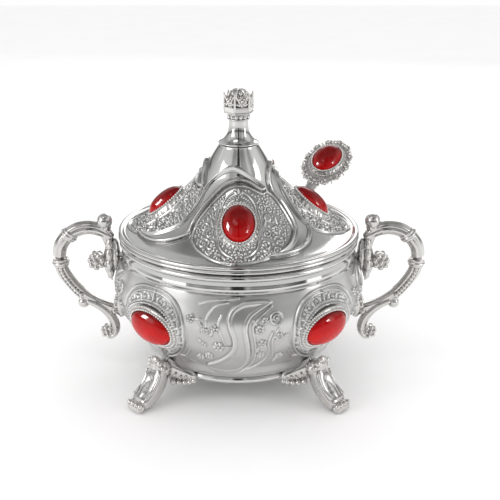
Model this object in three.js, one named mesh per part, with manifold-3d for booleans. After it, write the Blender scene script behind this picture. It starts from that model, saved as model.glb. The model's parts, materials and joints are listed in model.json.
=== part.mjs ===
// A silver-plated sugar bowl on four cast feet, with two scroll handles, a tent-shaped lid with a crown finial,
// red cabochons in oval settings, and a spoon that leans out through a notch in the lid's rim.
// Millimetres, +Z up. The front is -Y. The bowl's axis is built at x = y = 0, and the whole is then moved so
// that the origin is the middle of its footprint box, on the table.

import * as THREE from 'three';
import { mergeVertices } from 'three/addons/utils/BufferGeometryUtils.js';
import Module from 'manifold-3d';

const wasm = await Module();
wasm.setup();

// ---- driving dimensions ----
const BASE_HEIGHT = 10.6;         // underside of the bowl over the table
const BASE_RADIUS = 36.2;
const BELLY_RADIUS = 56.9;
const BELLY_HEIGHT = 43.6;
const RIM_RADIUS = 53.3;
const RIM_HEIGHT = 66;            // top of the bowl's rolled rim
const LID_RADIUS = 54;
const LID_SEAT_HEIGHT = 108.4;    // where the finial's neck stands on the lid
const LID_SEAT_RADIUS = 8.9;
const WALL = 1.5;
const GAP = 0.3;                  // air kept between neighbouring pieces
const HANDLE_REACH = 85.1;        // bowl axis to the outside of a handle
const HANDLE_BAR = 3.1;           // radius of a handle's loop
const FOOT_REACH = 65;            // bowl axis to the tip of a foot
const ROUND = 40;                 // sides of the big turned pieces
const QUARTER = Math.PI / 2;
const DEGREE = Math.PI / 180;

const LID_STONE = { length: 18, width: 13, rise: 5 };
const BOWL_STONE = { length: 22, width: 16, rise: 5.5 };
const LID_STONE_RADIUS = 31.2;    // bowl axis to the middle of a lid stone
const BOWL_STONE_HEIGHT = 39;     // table to the middle of a bowl stone

const silver = (roughness) => new THREE.MeshStandardMaterial({ color: 0xb9babd, roughness, metalness: 1 });
const POLISHED = silver(0.12);
const CAST = silver(0.28);
const SCREW = silver(0.35);
const RED_GLASS = new THREE.MeshStandardMaterial({ color: 0xb4100e, roughness: 0.05, metalness: 0 });

// ---- from geometry to solids and back ----

/** A manifold solid from a closed geometry. */
function solid(geometry) {
  const bare = geometry.clone();
  bare.deleteAttribute('normal');
  bare.deleteAttribute('uv');
  const merged = mergeVertices(bare, 1e-4);
  const index = merged.index.array;
  const triangles = [];
  for (let i = 0; i < index.length; i += 3) {
    const [a, b, c] = index.slice(i, i + 3);
    if (a !== b && b !== c && c !== a) triangles.push(a, b, c);
  }
  const mesh = new wasm.Mesh({
    numProp: 3,
    vertProperties: new Float32Array(merged.attributes.position.array),
    triVerts: new Uint32Array(triangles),
  });
  return new wasm.Manifold(mesh);
}

/** The geometry of a manifold solid. */
function geometryOf(body) {
  const mesh = body.getMesh();
  const geometry = new THREE.BufferGeometry();
  geometry.setAttribute('position', new THREE.BufferAttribute(mesh.vertProperties, 3));
  geometry.setIndex(new THREE.BufferAttribute(mesh.triVerts, 1));
  geometry.computeVertexNormals();
  return geometry;
}

const union = (geometries) => geometries.map(solid).reduce((whole, piece) => whole.add(piece));

/** A body turned about +Z from [radius, height] points that run counter-clockwise, inside to outside. */
function turned(points, sides = ROUND) {
  const profile = points.map(([r, z]) => new THREE.Vector2(r, z));
  return new THREE.LatheGeometry(profile, sides).rotateX(QUARTER);
}

/** A round bar of the given radius along a smooth curve through the points. */
function bar(points, radius, steps, sides = 7) {
  const section = new THREE.Shape();
  for (let k = 0; k < sides; k++) {
    const turn = (2 * Math.PI * (k + 0.5)) / sides;
    const corner = [radius * Math.cos(turn), radius * Math.sin(turn)];
    if (k === 0) section.moveTo(...corner);
    else section.lineTo(...corner);
  }
  const path = new THREE.CatmullRomCurve3(points.map((p) => new THREE.Vector3(...p)));
  return new THREE.ExtrudeGeometry(section, { steps, extrudePath: path, bevelEnabled: false });
}

/** A ball, squashed by a scale, at a place. */
function ball(radius, place, scale = [1, 1, 1], sides = 8) {
  return new THREE.SphereGeometry(radius, sides, Math.round(sides * 0.7)).scale(...scale).translate(...place);
}

/** Points of a smooth curve through [radius, height] points. */
function smooth(points, pieces) {
  const curve = new THREE.SplineCurve(points.map(([r, z]) => new THREE.Vector2(r, z)));
  return curve.getPoints(pieces).map((p) => [p.x, p.y]);
}

/** The same open outline, moved sideways by a distance: positive to its left. */
function beside(points, distance) {
  return points.map(([r, z], i) => {
    const [r0, z0] = points[Math.max(i - 1, 0)];
    const [r1, z1] = points[Math.min(i + 1, points.length - 1)];
    const length = Math.hypot(r1 - r0, z1 - z0);
    return [r - (distance * (z1 - z0)) / length, z + (distance * (r1 - r0)) / length];
  });
}

// ---- outlines of the bowl and the lid ----

// The bowl's wall from its foot ring up to just under its rim.
const bowlSide = smooth([
  [BASE_RADIUS + 6.2, BASE_HEIGHT + 6],
  [BELLY_RADIUS * 0.873, BASE_HEIGHT + 15.8],
  [BELLY_RADIUS * 0.955, BELLY_HEIGHT - 9.6],
  [BELLY_RADIUS, BELLY_HEIGHT],
  [BELLY_RADIUS * 0.962, BELLY_HEIGHT + 9.8],
  [RIM_RADIUS - 1, RIM_HEIGHT - 4.6],
], 9);

const bowlFoot = [
  [BASE_RADIUS, BASE_HEIGHT],
  [BASE_RADIUS + 2.6, BASE_HEIGHT + 0.9],
  [BASE_RADIUS + 5.8, BASE_HEIGHT + 4],
];

const bowlRim = [
  [RIM_RADIUS - 0.2, RIM_HEIGHT - 3.3],
  [RIM_RADIUS, RIM_HEIGHT - 1.6],
  [RIM_RADIUS - 0.8, RIM_HEIGHT],
];

const bowlOutside = [...bowlFoot, ...bowlSide, ...bowlRim];

// The lid's tent, from its flat shoulder ring up to the finial's seat.
const lidTent = smooth([
  [LID_RADIUS - 9.3, RIM_HEIGHT + 4.6],
  [LID_RADIUS - 17, RIM_HEIGHT + 9.5],
  [LID_STONE_RADIUS - 5, RIM_HEIGHT + 18.2],
  [LID_SEAT_RADIUS + 8.3, RIM_HEIGHT + 27.3],
  [LID_SEAT_RADIUS + 3.6, RIM_HEIGHT + 35.6],
  [LID_SEAT_RADIUS, LID_SEAT_HEIGHT - 1],
], 9);

const lidEdge = [
  [LID_RADIUS - 1, RIM_HEIGHT + GAP],
  [LID_RADIUS, RIM_HEIGHT + 1.9],
  [LID_RADIUS - 0.6, RIM_HEIGHT + 2.6],
  [LID_RADIUS, RIM_HEIGHT + 3.4],
  [LID_RADIUS - 1.1, RIM_HEIGHT + 4.4],
  [LID_RADIUS - 4.5, RIM_HEIGHT + 3.9],
];

const lidOutside = [...lidEdge, ...lidTent];

/** Radius of an outline at a height, between its points. */
function radiusAt(outline, height) {
  for (let i = 1; i < outline.length; i++) {
    const [r0, z0] = outline[i - 1];
    const [r1, z1] = outline[i];
    if ((z0 - height) * (z1 - height) <= 0 && z0 !== z1) return r0 + ((r1 - r0) * (height - z0)) / (z1 - z0);
  }
  return outline[outline.length - 1][0];
}

/** Height of an outline at a radius, between its points. */
function heightAt(outline, radius) {
  for (let i = 1; i < outline.length; i++) {
    const [r0, z0] = outline[i - 1];
    const [r1, z1] = outline[i];
    if ((r0 - radius) * (r1 - radius) <= 0 && r0 !== r1) return z0 + ((z1 - z0) * (radius - r0)) / (r1 - r0);
  }
  return outline[outline.length - 1][1];
}

/** A frame on a turned wall: its origin on the wall, +Z out of the wall, +Y up along it, +X around it. */
function wallFrame(outline, height, azimuth) {
  const step = 1.5;
  const rise = new THREE.Vector2(
    radiusAt(outline, height + step) - radiusAt(outline, height - step), 2 * step).normalize();
  const around = new THREE.Vector3(-Math.sin(azimuth), Math.cos(azimuth), 0);
  const out = new THREE.Vector3(Math.cos(azimuth), Math.sin(azimuth), 0);
  const up = out.clone().multiplyScalar(rise.x).add(new THREE.Vector3(0, 0, rise.y));
  const normal = new THREE.Vector3().crossVectors(around, up);
  const radius = radiusAt(outline, height);
  const frame = new THREE.Matrix4().makeBasis(around, up, normal);
  return frame.setPosition(out.multiplyScalar(radius).setZ(height));
}

/** How far out of a wall frame's XY plane the turned wall lies at local x, y. */
function wallHeight(outline, frame, x, y) {
  let low = -12;
  let high = 12;
  for (let k = 0; k < 30; k++) {
    const middle = (low + high) / 2;
    const point = new THREE.Vector3(x, y, middle).applyMatrix4(frame);
    if (Math.hypot(point.x, point.y) < radiusAt(outline, point.z)) low = middle;
    else high = middle;
  }
  return low;
}

// ---- screws that hold cast pieces to the bowl, driven from inside ----

const SCREW_RADIUS = 1.2;
const SCREW_HEAD_RADIUS = 2.4;
const SCREW_HEAD_HEIGHT = 1.2;
const SCREW_LENGTH = 4.6;         // reach past the wall's outer face

/** A pan-head screw in a wall frame, its head on the wall's inner face. */
function wallScrew(frame) {
  const underHead = -WALL - 2 * GAP;
  return turned([
    [0, underHead - SCREW_HEAD_HEIGHT],
    [SCREW_HEAD_RADIUS * 0.7, underHead - SCREW_HEAD_HEIGHT],
    [SCREW_HEAD_RADIUS, underHead],
    [SCREW_RADIUS, underHead],
    [SCREW_RADIUS, SCREW_LENGTH],
    [0, SCREW_LENGTH],
  ], 12).applyMatrix4(frame);
}

/** The hole that such a screw needs, through the wall and into the piece outside. */
function screwHole(frame) {
  const reach = WALL + 3;
  const length = reach + SCREW_LENGTH + GAP;
  return new THREE.CylinderGeometry(SCREW_RADIUS + GAP, SCREW_RADIUS + GAP, length, 12)
    .rotateX(QUARTER).translate(0, 0, length / 2 - reach).applyMatrix4(frame);
}

const HANDLE_SIDES = { right: 0, left: Math.PI };
const FOOT_CORNERS = {
  front_right: -Math.PI / 4,
  front_left: (-3 * Math.PI) / 4,
  back_right: Math.PI / 4,
  back_left: (3 * Math.PI) / 4,
};
/** The bowl's stones stand a little nearer to the front and the back than the feet. */
const BOWL_STONE_CORNERS = {
  front_right: -49 * DEGREE,
  front_left: -131 * DEGREE,
  back_right: 49 * DEGREE,
  back_left: 131 * DEGREE,
};
const handleScrewFrames = (azimuth) => [
  wallFrame(bowlOutside, RIM_HEIGHT - 10, azimuth),
  wallFrame(bowlOutside, RIM_HEIGHT - 35, azimuth),
];
const footScrewFrame = (azimuth) => wallFrame(bowlOutside, BASE_HEIGHT + 9, azimuth);

// ---- the bowl ----

/** Everything inside the bowl's outside, grown by the gap: what cuts the pieces that hug it. */
function bowlEnvelope() {
  const grown = beside(bowlOutside, -GAP);
  return solid(turned([[0, BASE_HEIGHT - GAP], ...grown, [0, RIM_HEIGHT + GAP]]));
}

function bowlShell() {
  const inside = beside(bowlSide, WALL);
  const floor = BASE_HEIGHT + WALL;
  const shell = turned([
    [0, BASE_HEIGHT],
    ...bowlOutside,
    [RIM_RADIUS - 1.4, RIM_HEIGHT - 0.4],
    ...inside.reverse(),
    [BASE_RADIUS, floor],
    [0, floor],
  ]);
  const frames = [
    ...Object.values(HANDLE_SIDES).flatMap(handleScrewFrames),
    ...Object.values(FOOT_CORNERS).map(footScrewFrame),
  ];
  const cut = frames.map(screwHole).reduce((body, hole) => body.subtract(solid(hole)), solid(shell));
  return geometryOf(cut);
}

// ---- a scroll handle, in the plane y = 0 on the +X side ----

const LOOP_REACH = HANDLE_REACH - HANDLE_BAR;
const HANDLE_TOP = RIM_HEIGHT + 2.9;          // middle line of the loop at its highest
const UPPER_PAD = { x: RIM_RADIUS + 3.2, z: RIM_HEIGHT - 10 };
const LOWER_PAD = { x: RIM_RADIUS + 0.7, z: RIM_HEIGHT - 35 };

// Middle lines as [x, z], each from its start on the bowl or the loop to its free end.
const loopLine = [
  [RIM_RADIUS + 4.1, HANDLE_TOP - 5.8], [RIM_RADIUS + 7.5, HANDLE_TOP - 1.9], [LOOP_REACH - 15.7, HANDLE_TOP],
  [LOOP_REACH - 10, HANDLE_TOP - 0.7], [LOOP_REACH - 5, HANDLE_TOP - 3.7], [LOOP_REACH - 1, HANDLE_TOP - 8.9],
  [LOOP_REACH, HANDLE_TOP - 14.6], [LOOP_REACH - 1, HANDLE_TOP - 20.5], [LOOP_REACH - 4.7, HANDLE_TOP - 26.3],
];
const taperLine = [
  [LOOP_REACH - 3.7, HANDLE_TOP - 24.9], [LOOP_REACH - 9.9, HANDLE_TOP - 31.8],
  [LOWER_PAD.x + 11.9, LOWER_PAD.z + 2], [LOWER_PAD.x + 5.6, LOWER_PAD.z - 0.8],
  [LOWER_PAD.x, LOWER_PAD.z - 2.5],
];
const tailLine = [
  [LOWER_PAD.x + 17, LOWER_PAD.z + 2.4], [LOWER_PAD.x + 11, LOWER_PAD.z + 0.3],
  [LOWER_PAD.x + 6.5, LOWER_PAD.z - 3.5], [LOWER_PAD.x + 3.6, LOWER_PAD.z - 8.5],
  [LOWER_PAD.x + 3.4, LOWER_PAD.z - 12.6], [LOWER_PAD.x + 6, LOWER_PAD.z - 15.4],
  [LOWER_PAD.x + 8.6, LOWER_PAD.z - 14.8],
];
const curlLine = [
  [UPPER_PAD.x + 4.9, UPPER_PAD.z + 9], [UPPER_PAD.x + 2.5, UPPER_PAD.z + 4],
  [UPPER_PAD.x + 2.7, UPPER_PAD.z - 1.4], [UPPER_PAD.x + 5.9, UPPER_PAD.z - 3.6],
];
const leafLine = [
  [UPPER_PAD.x + 0.5, UPPER_PAD.z + 7], [UPPER_PAD.x + 2, UPPER_PAD.z],
  [UPPER_PAD.x + 2.9, UPPER_PAD.z - 6], [UPPER_PAD.x + 2.1, UPPER_PAD.z - 10.4],
];

/** A bar along [x, z] points in the handle's plane. */
const flatBar = (line, ...size) => bar(line.map(([x, z]) => [x, 0, z]), ...size);

function handle() {
  const pieces = [
    flatBar(loopLine, HANDLE_BAR, 14, 8),
    flatBar(taperLine, HANDLE_BAR * 0.77, 6),
    flatBar(tailLine, HANDLE_BAR * 0.68, 10),
    flatBar(curlLine, HANDLE_BAR * 0.68, 6),
    flatBar(leafLine, HANDLE_BAR * 0.84, 5),
  ];
  // Balls as [radius, x, z, scale]: the knob, the two petalled scroll ends and the ball under the loop, then
  // the two pads against the bowl and the two collars on the loop.
  const balls = [
    [3.7, RIM_RADIUS + 7, HANDLE_TOP + 3.3],
    [4.4, UPPER_PAD.x + 7.9, UPPER_PAD.z - 3, [1, 0.8, 1]],
    [3.3, LOWER_PAD.x + 7.4, LOWER_PAD.z - 13.4, [1, 0.85, 1]],
    [2.7, LOOP_REACH - 10.4, LOWER_PAD.z + 2.2],
    [4, UPPER_PAD.x, UPPER_PAD.z, [0.8, 1, 2.2]],
    [4.2, LOWER_PAD.x, LOWER_PAD.z, [0.9, 1, 1.5]],
    [4, LOOP_REACH - 5.6, HANDLE_TOP - 3.3, [0.45, 1, 1]],
    [4, LOOP_REACH - 0.2, HANDLE_TOP - 16.3, [0.85, 1, 0.35]],
  ];
  for (const [radius, x, z, scale] of balls) pieces.push(ball(radius, [x, 0, z], scale));
  const body = union(pieces).subtract(bowlEnvelope());
  return handleScrewFrames(0).reduce((cut, frame) => cut.subtract(solid(screwHole(frame))), body);
}

// ---- a cast foot, in the plane y = 0 on the +X side ----

const FOOT_WIDTH = 9.6;
const BRACKET_WIDTH = 25;
const BRACKET_HEIGHT = 7.4;
const SOLE_LENGTH = 9.4;

/** Flat points for a spline through [x, z] offsets from a place. */
const offsets = (x, z, pairs) => pairs.map(([dx, dz]) => new THREE.Vector2(x + dx, z + dz));

/** The leg's side view: a toe on the table, a curved shin, and a head that the bowl's wall cuts off. */
function legOutline() {
  const tip = FOOT_REACH;
  const sole = tip - 1.2;
  const heel = sole - SOLE_LENGTH;
  const ankle = BASE_RADIUS + 8.4;
  const outline = new THREE.Shape();
  outline.moveTo(sole, 0);
  outline.quadraticCurveTo(tip, 1, tip, 2.4);
  outline.lineTo(tip - 1, 4.6);
  outline.splineThru(offsets(tip, BASE_HEIGHT, [[-6.4, -2.4], [-10.4, 1.8], [-11.8, 6.4], [-11, 9.8]]));
  outline.lineTo(tip - 13.6, BASE_HEIGHT + 13);
  outline.lineTo(ankle - 0.6, BASE_HEIGHT + 10.4);
  outline.lineTo(ankle - 4.6, BASE_HEIGHT + 2);
  outline.lineTo(ankle, BASE_HEIGHT - 0.8);
  outline.splineThru(offsets(heel, 0, [[-8, 6.4], [-5, 2.6], [0, 0]]));
  return outline;
}

function foot() {
  const leg = new THREE.ExtrudeGeometry(legOutline(), { depth: FOOT_WIDTH, bevelEnabled: false, curveSegments: 4 })
    .translate(0, 0, -FOOT_WIDTH / 2).rotateX(QUARTER);
  const halfTurn = BRACKET_WIDTH / 2 / (BASE_RADIUS + 6);
  const bracketShape = new THREE.Shape();
  bracketShape.absarc(0, 0, BASE_RADIUS + 8.6, -halfTurn, halfTurn, false);
  bracketShape.absarc(0, 0, BASE_RADIUS, halfTurn, -halfTurn, true);
  const depth = BRACKET_HEIGHT;
  const bracket = new THREE.ExtrudeGeometry(bracketShape, { depth, bevelEnabled: false, curveSegments: 5 })
    .translate(0, 0, BASE_HEIGHT - 0.5);
  return union([leg, bracket]).subtract(bowlEnvelope()).subtract(solid(screwHole(footScrewFrame(0))));
}

// ---- cabochon settings and stones ----

const SETTING_RIM = 1.9;          // width of the metal around a stone
const SETTING_FLOOR = 1;          // floor of the cup over the wall's highest point

/** An oval cup that sits on a turned wall and follows it underneath, in its own wall frame. */
function setting(stone, outline, frame) {
  const half = stone.width / 2 + GAP;
  const outer = half + SETTING_RIM;
  const stretch = (stone.length / 2 + GAP) / half;
  const lip = SETTING_FLOOR + 1.5;
  const under = -1;
  const underRings = [0, 0.3, 0.55, 0.8, 1].map((share) => [outer * share, under]);
  const cup = turned([
    ...underRings,
    [outer, lip - 0.7], [outer - 0.9, lip], [half, lip - 0.3],
    [half, SETTING_FLOOR], [0, SETTING_FLOOR],
  ], 16).scale(1, stretch, 1);
  const place = cup.attributes.position;
  for (let i = 0; i < place.count; i++) {
    if (place.getZ(i) < under + 0.5) {
      const wall = wallHeight(outline, frame, place.getX(i), place.getY(i));
      place.setZ(i, wall + GAP);
    }
  }
  return cup;
}

/** A cabochon: a flat-backed oval dome that sits in its setting. */
function cabochon(stone) {
  const base = SETTING_FLOOR + GAP;
  const girdle = base + 0.8;
  const half = stone.width / 2;
  const profile = [[0, base], [half - 0.3, base], [half, girdle]];
  const arcs = 4;
  for (let k = 1; k <= arcs; k++) {
    const turn = (QUARTER * k) / arcs;
    profile.push([half * Math.cos(turn), girdle + (stone.rise - 0.8) * Math.sin(turn)]);
  }
  profile[profile.length - 1][0] = 0;
  return turned(profile, 16).scale(1, stone.length / stone.width, 1);
}

// ---- the lid and its finial ----

const LID_BORE = 1.9;             // radius of the hole for the finial's stud
const FLANGE_DEPTH = 2.8;         // how far the lid's locating ring drops into the bowl
const FLANGE_RADIUS = RIM_RADIUS - 2.3;

// The spoon's line: it crosses the rim at this point and climbs outwards along this direction.
const SPOON_AZIMUTH = 53 * DEGREE;
const SPOON_HEADING = 57 * DEGREE;
const SPOON_LEAN = 62 * DEGREE;   // from upright
const SPOON_ROLL = 11 * DEGREE;
const SPOON_CROSSING = new THREE.Vector3(Math.cos(SPOON_AZIMUTH), Math.sin(SPOON_AZIMUTH), 0)
  .multiplyScalar(RIM_RADIUS - 1.3).setZ(RIM_HEIGHT + 3.1);
const NOTCH = { length: 19, width: 8.4, height: 20, outwards: 2.5 };

function lidShell() {
  const inside = beside(lidTent, WALL);
  const top = LID_SEAT_HEIGHT - GAP;
  const flange = RIM_HEIGHT + GAP - FLANGE_DEPTH;
  const shell = turned([
    [LID_BORE, top],
    [LID_BORE, top - 3],
    [LID_SEAT_RADIUS - WALL, top - 3],
    ...inside.reverse().slice(1),
    [LID_RADIUS - 5.4, RIM_HEIGHT + 2.4],
    [FLANGE_RADIUS - 1.3, RIM_HEIGHT + 1.9],
    [FLANGE_RADIUS - 1.3, flange],
    [FLANGE_RADIUS, flange],
    [FLANGE_RADIUS, RIM_HEIGHT + GAP],
    ...lidOutside,
    [LID_SEAT_RADIUS - 0.4, top],
    [LID_BORE, top],
  ]);
  const notch = new THREE.BoxGeometry(NOTCH.length, NOTCH.width, NOTCH.height).translate(NOTCH.outwards, 0, 0)
    .rotateZ(SPOON_HEADING).translate(...SPOON_CROSSING.toArray());
  return geometryOf(solid(shell).subtract(solid(notch)));
}

const NECK_HEIGHT = 13;
const NECK_RADIUS = 4.3;
const CROWN_BASE = LID_SEAT_HEIGHT + NECK_HEIGHT + GAP;
const CROWN_SIDES = 6;
const CROWN_RADIUS = 6.65;        // to the corners
const CROWN_HEIGHT = 8.6;
const CROWN_WALL = 0.9;
const CROWN_TURN = -Math.PI / 12; // of a corner from the front, towards the left
const SOCKET_DEPTH = 2.4;         // the crown's hole for the stud
const BUD_RADIUS = 3.4;

/** The trumpet-shaped neck that carries the crown, with a ring under the crown. */
function finialNeck() {
  const flare = smooth([
    [LID_SEAT_RADIUS, LID_SEAT_HEIGHT + 0.5],
    [NECK_RADIUS + 2.6, LID_SEAT_HEIGHT + 1.6],
    [NECK_RADIUS + 0.9, LID_SEAT_HEIGHT + 3.9],
    [NECK_RADIUS + 0.1, LID_SEAT_HEIGHT + 6.7],
    [NECK_RADIUS, LID_SEAT_HEIGHT + NECK_HEIGHT - 2.6],
  ], 7);
  const ring = NECK_RADIUS + 0.8;
  const top = LID_SEAT_HEIGHT + NECK_HEIGHT;
  return turned([
    [LID_BORE, LID_SEAT_HEIGHT], [LID_SEAT_RADIUS, LID_SEAT_HEIGHT],
    ...flare,
    [ring, top - 2.1], [ring, top - 0.4], [ring - 0.4, top], [LID_BORE, top], [LID_BORE, LID_SEAT_HEIGHT],
  ], 24);
}

/** The crown: a hollow prism with a notch over each side, so that its corners stand up, and a bud in it. */
function finialCrown() {
  const floor = CROWN_BASE + SOCKET_DEPTH + 0.9;
  const top = CROWN_BASE + CROWN_HEIGHT;
  const inner = CROWN_RADIUS - CROWN_WALL;
  const cup = turned([
    [0, CROWN_BASE + SOCKET_DEPTH], [LID_BORE, CROWN_BASE + SOCKET_DEPTH], [LID_BORE, CROWN_BASE],
    [CROWN_RADIUS - 0.5, CROWN_BASE], [CROWN_RADIUS, CROWN_BASE + 0.5], [CROWN_RADIUS, top], [inner, top],
    [inner, floor], [0, floor],
  ], CROWN_SIDES);
  const notches = [];
  for (let k = 0; k < CROWN_SIDES; k++) {
    notches.push(new THREE.CylinderGeometry(1, 1, CROWN_RADIUS, 4).scale(CROWN_RADIUS * 0.46, 1, 4)
      .translate(0, -CROWN_RADIUS, top + 0.4).rotateZ((Math.PI * (2 * k + 1)) / CROWN_SIDES));
  }
  const bud = ball(BUD_RADIUS, [0, 0, top - 1.8], [1, 1, 1.2], 10);
  const crown = notches.reduce((left, notch) => left.subtract(solid(notch)), solid(cup));
  const stalk = turned([[0, floor - 0.4], [BUD_RADIUS * 0.8, floor - 0.4], [BUD_RADIUS * 0.8, top - 2], [0, top - 2]], 10);
  return geometryOf(crown.add(union([bud, stalk]))).rotateZ(CROWN_TURN);
}

const STUD_RADIUS = 1.5;
const STUD_TOP = CROWN_BASE + SOCKET_DEPTH - GAP;
const NUT_TOP = LID_SEAT_HEIGHT - GAP - 3 - GAP;

/** The threaded stud that draws the crown, the neck and the lid together. */
function finialStud() {
  const bottom = NUT_TOP - 5;
  return new THREE.CylinderGeometry(STUD_RADIUS, STUD_RADIUS, STUD_TOP - bottom, 12)
    .rotateX(QUARTER).translate(0, 0, (STUD_TOP + bottom) / 2);
}

function finialNut() {
  const bore = STUD_RADIUS + GAP;
  return turned([
    [bore, NUT_TOP - 2.4], [3.2, NUT_TOP - 2.4], [3.2, NUT_TOP], [bore, NUT_TOP], [bore, NUT_TOP - 2.4],
  ], 6);
}

// ---- the spoon, along local +Y from its crossing with the rim, its face towards local +Z ----

const SPOON_TIP = -100;
const SPOON_BOWL = { length: 38, width: 25, depth: 6, wall: 1.1 };
const CARTOUCHE = { middle: 29, length: 31, width: 24, thickness: 1.8 };
const CARTOUCHE_RISE = 1.2;       // the cartouche's face over the stem's middle line

function spoonBody() {
  const { length, width, depth, wall } = SPOON_BOWL;
  const half = width / 2;
  const scoop = turned([
    [0, -depth], [half * 0.55, -depth * 0.8], [half * 0.88, -depth * 0.38], [half, 0],
    [half - wall, 0], [half * 0.88 - wall, -depth * 0.38 + wall * 0.5],
    [half * 0.5, -depth * 0.8 + wall * 1.1], [0, -depth + wall],
  ], 20).scale(1, length / width, 1).translate(0, SPOON_TIP + length / 2, 0);
  const stemShape = new THREE.Shape();
  const stemWidth = 4.4;
  const stemThickness = 2.2;
  stemShape.moveTo(-stemThickness / 2, -stemWidth / 2);
  stemShape.lineTo(stemThickness / 2, -stemWidth / 2);
  stemShape.lineTo(stemThickness / 2, stemWidth / 2);
  stemShape.lineTo(-stemThickness / 2, stemWidth / 2);
  const stemPath = new THREE.LineCurve3(
    new THREE.Vector3(0, SPOON_TIP + length - 0.6, -0.6),
    new THREE.Vector3(0, CARTOUCHE.middle - CARTOUCHE.length / 2 + 2, 0));
  const stem = new THREE.ExtrudeGeometry(stemShape, { steps: 1, extrudePath: stemPath, bevelEnabled: false });
  const face = CARTOUCHE_RISE;
  const back = face - CARTOUCHE.thickness;
  const plate = turned([
    [0, back], [CARTOUCHE.width / 2 - 1, back], [CARTOUCHE.width / 2, back + 0.6],
    [CARTOUCHE.width / 2 - 0.8, face], [0, face],
  ], 24).scale(1, CARTOUCHE.length / CARTOUCHE.width, 1).translate(0, CARTOUCHE.middle, 0);
  return geometryOf(union([scoop, stem, plate]));
}

/** The flat-bottomed setting on the spoon's cartouche. */
function spoonSetting() {
  const half = LID_STONE.width / 2 + GAP;
  const outer = half + SETTING_RIM;
  const stretch = (LID_STONE.length / 2 + GAP) / half;
  return turned([
    [0, 0], [outer, 0], [outer, 1.6], [outer - 0.9, 2.2], [half, 1.9], [half, 0.6], [0, 0.6],
  ], 16).scale(1, stretch, 1);
}

/** The spoon's own frame: +Y up its line, +Z out of its face. */
function spoonFrame() {
  const along = new THREE.Vector3(
    Math.sin(SPOON_LEAN) * Math.cos(SPOON_HEADING), Math.sin(SPOON_LEAN) * Math.sin(SPOON_HEADING),
    Math.cos(SPOON_LEAN));
  const side = new THREE.Vector3(Math.sin(SPOON_HEADING), -Math.cos(SPOON_HEADING), 0);
  side.applyAxisAngle(along, SPOON_ROLL);
  const face = new THREE.Vector3().crossVectors(side, along);
  return new THREE.Matrix4().makeBasis(side, along, face).setPosition(SPOON_CROSSING);
}

// ---- assembly ----

const sugarBowl = new THREE.Group();

function place(parent, name, geometry, material, frame) {
  const mesh = new THREE.Mesh(geometry, material);
  mesh.name = name;
  if (frame) frame.decompose(mesh.position, mesh.quaternion, mesh.scale);
  parent.add(mesh);
  return mesh;
}

/** A copy of a piece built at azimuth 0, turned about the bowl's axis. */
function placeTurned(name, geometry, material, azimuth) {
  place(sugarBowl, name, geometry, material).rotation.z = azimuth;
}

place(sugarBowl, 'bowl', bowlShell(), POLISHED);

const handleBody = geometryOf(handle());
for (const [side, azimuth] of Object.entries(HANDLE_SIDES)) {
  placeTurned(`handle_${side}`, handleBody, CAST, azimuth);
  handleScrewFrames(0).forEach((frame, k) => {
    placeTurned(`handle_screw_${side}_${['upper', 'lower'][k]}`, wallScrew(frame), SCREW, azimuth);
  });
}

const footBody = geometryOf(foot());
for (const [corner, azimuth] of Object.entries(FOOT_CORNERS)) {
  placeTurned(`foot_${corner}`, footBody, CAST, azimuth);
  placeTurned(`foot_screw_${corner}`, wallScrew(footScrewFrame(0)), SCREW, azimuth);
}
for (const [corner, azimuth] of Object.entries(BOWL_STONE_CORNERS)) {
  const frame = wallFrame(bowlOutside, BOWL_STONE_HEIGHT, azimuth);
  const lying = frame.clone().multiply(new THREE.Matrix4().makeRotationZ(QUARTER));
  place(sugarBowl, `bowl_setting_${corner}`, setting(BOWL_STONE, bowlOutside, lying), CAST, lying);
  place(sugarBowl, `bowl_stone_${corner}`, cabochon(BOWL_STONE), RED_GLASS, lying);
}

const lid = new THREE.Group();
sugarBowl.add(lid);
place(lid, 'lid', lidShell(), POLISHED);
place(lid, 'finial_neck', finialNeck(), POLISHED);
place(lid, 'finial_crown', finialCrown(), CAST);
place(lid, 'finial_stud', finialStud(), SCREW);
place(lid, 'finial_nut', finialNut(), SCREW);

const LID_STONES = { front: -QUARTER, right: 0, back: QUARTER, left: Math.PI };
for (const [side, azimuth] of Object.entries(LID_STONES)) {
  const frame = wallFrame(lidOutside, heightAt(lidTent, LID_STONE_RADIUS), azimuth);
  place(lid, `lid_setting_${side}`, setting(LID_STONE, lidOutside, frame), CAST, frame);
  place(lid, `lid_stone_${side}`, cabochon(LID_STONE), RED_GLASS, frame);
}

const spoon = new THREE.Group();
spoonFrame().decompose(spoon.position, spoon.quaternion, spoon.scale);
sugarBowl.add(spoon);
place(spoon, 'spoon', spoonBody(), CAST);
place(spoon, 'spoon_setting', spoonSetting(), CAST).position.set(0, CARTOUCHE.middle, CARTOUCHE_RISE + GAP);
place(spoon, 'spoon_stone', cabochon(LID_STONE), RED_GLASS)
  .position.set(0, CARTOUCHE.middle, CARTOUCHE_RISE + 2 * GAP + 0.6 - SETTING_FLOOR - GAP);

// The origin goes to the middle of the footprint box, on the table.
sugarBowl.updateMatrixWorld(true);
const box = new THREE.Box3().setFromObject(sugarBowl, true);
const middle = box.getCenter(new THREE.Vector3());
sugarBowl.position.set(-middle.x, -middle.y, -box.min.z);

export default sugarBowl;
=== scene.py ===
"""The looks of the silver-plated sugar bowl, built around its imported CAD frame.

Shapes are worked out in millimetres with the bowl's axis at x = y = 0, the table at z = 0 and the front at
-Y, and new_mesh() turns them into metres in the row frame. Azimuths run from the front towards the right.
"""

import json
import math

import bpy
import numpy as np
from mathutils import Matrix, Vector

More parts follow.
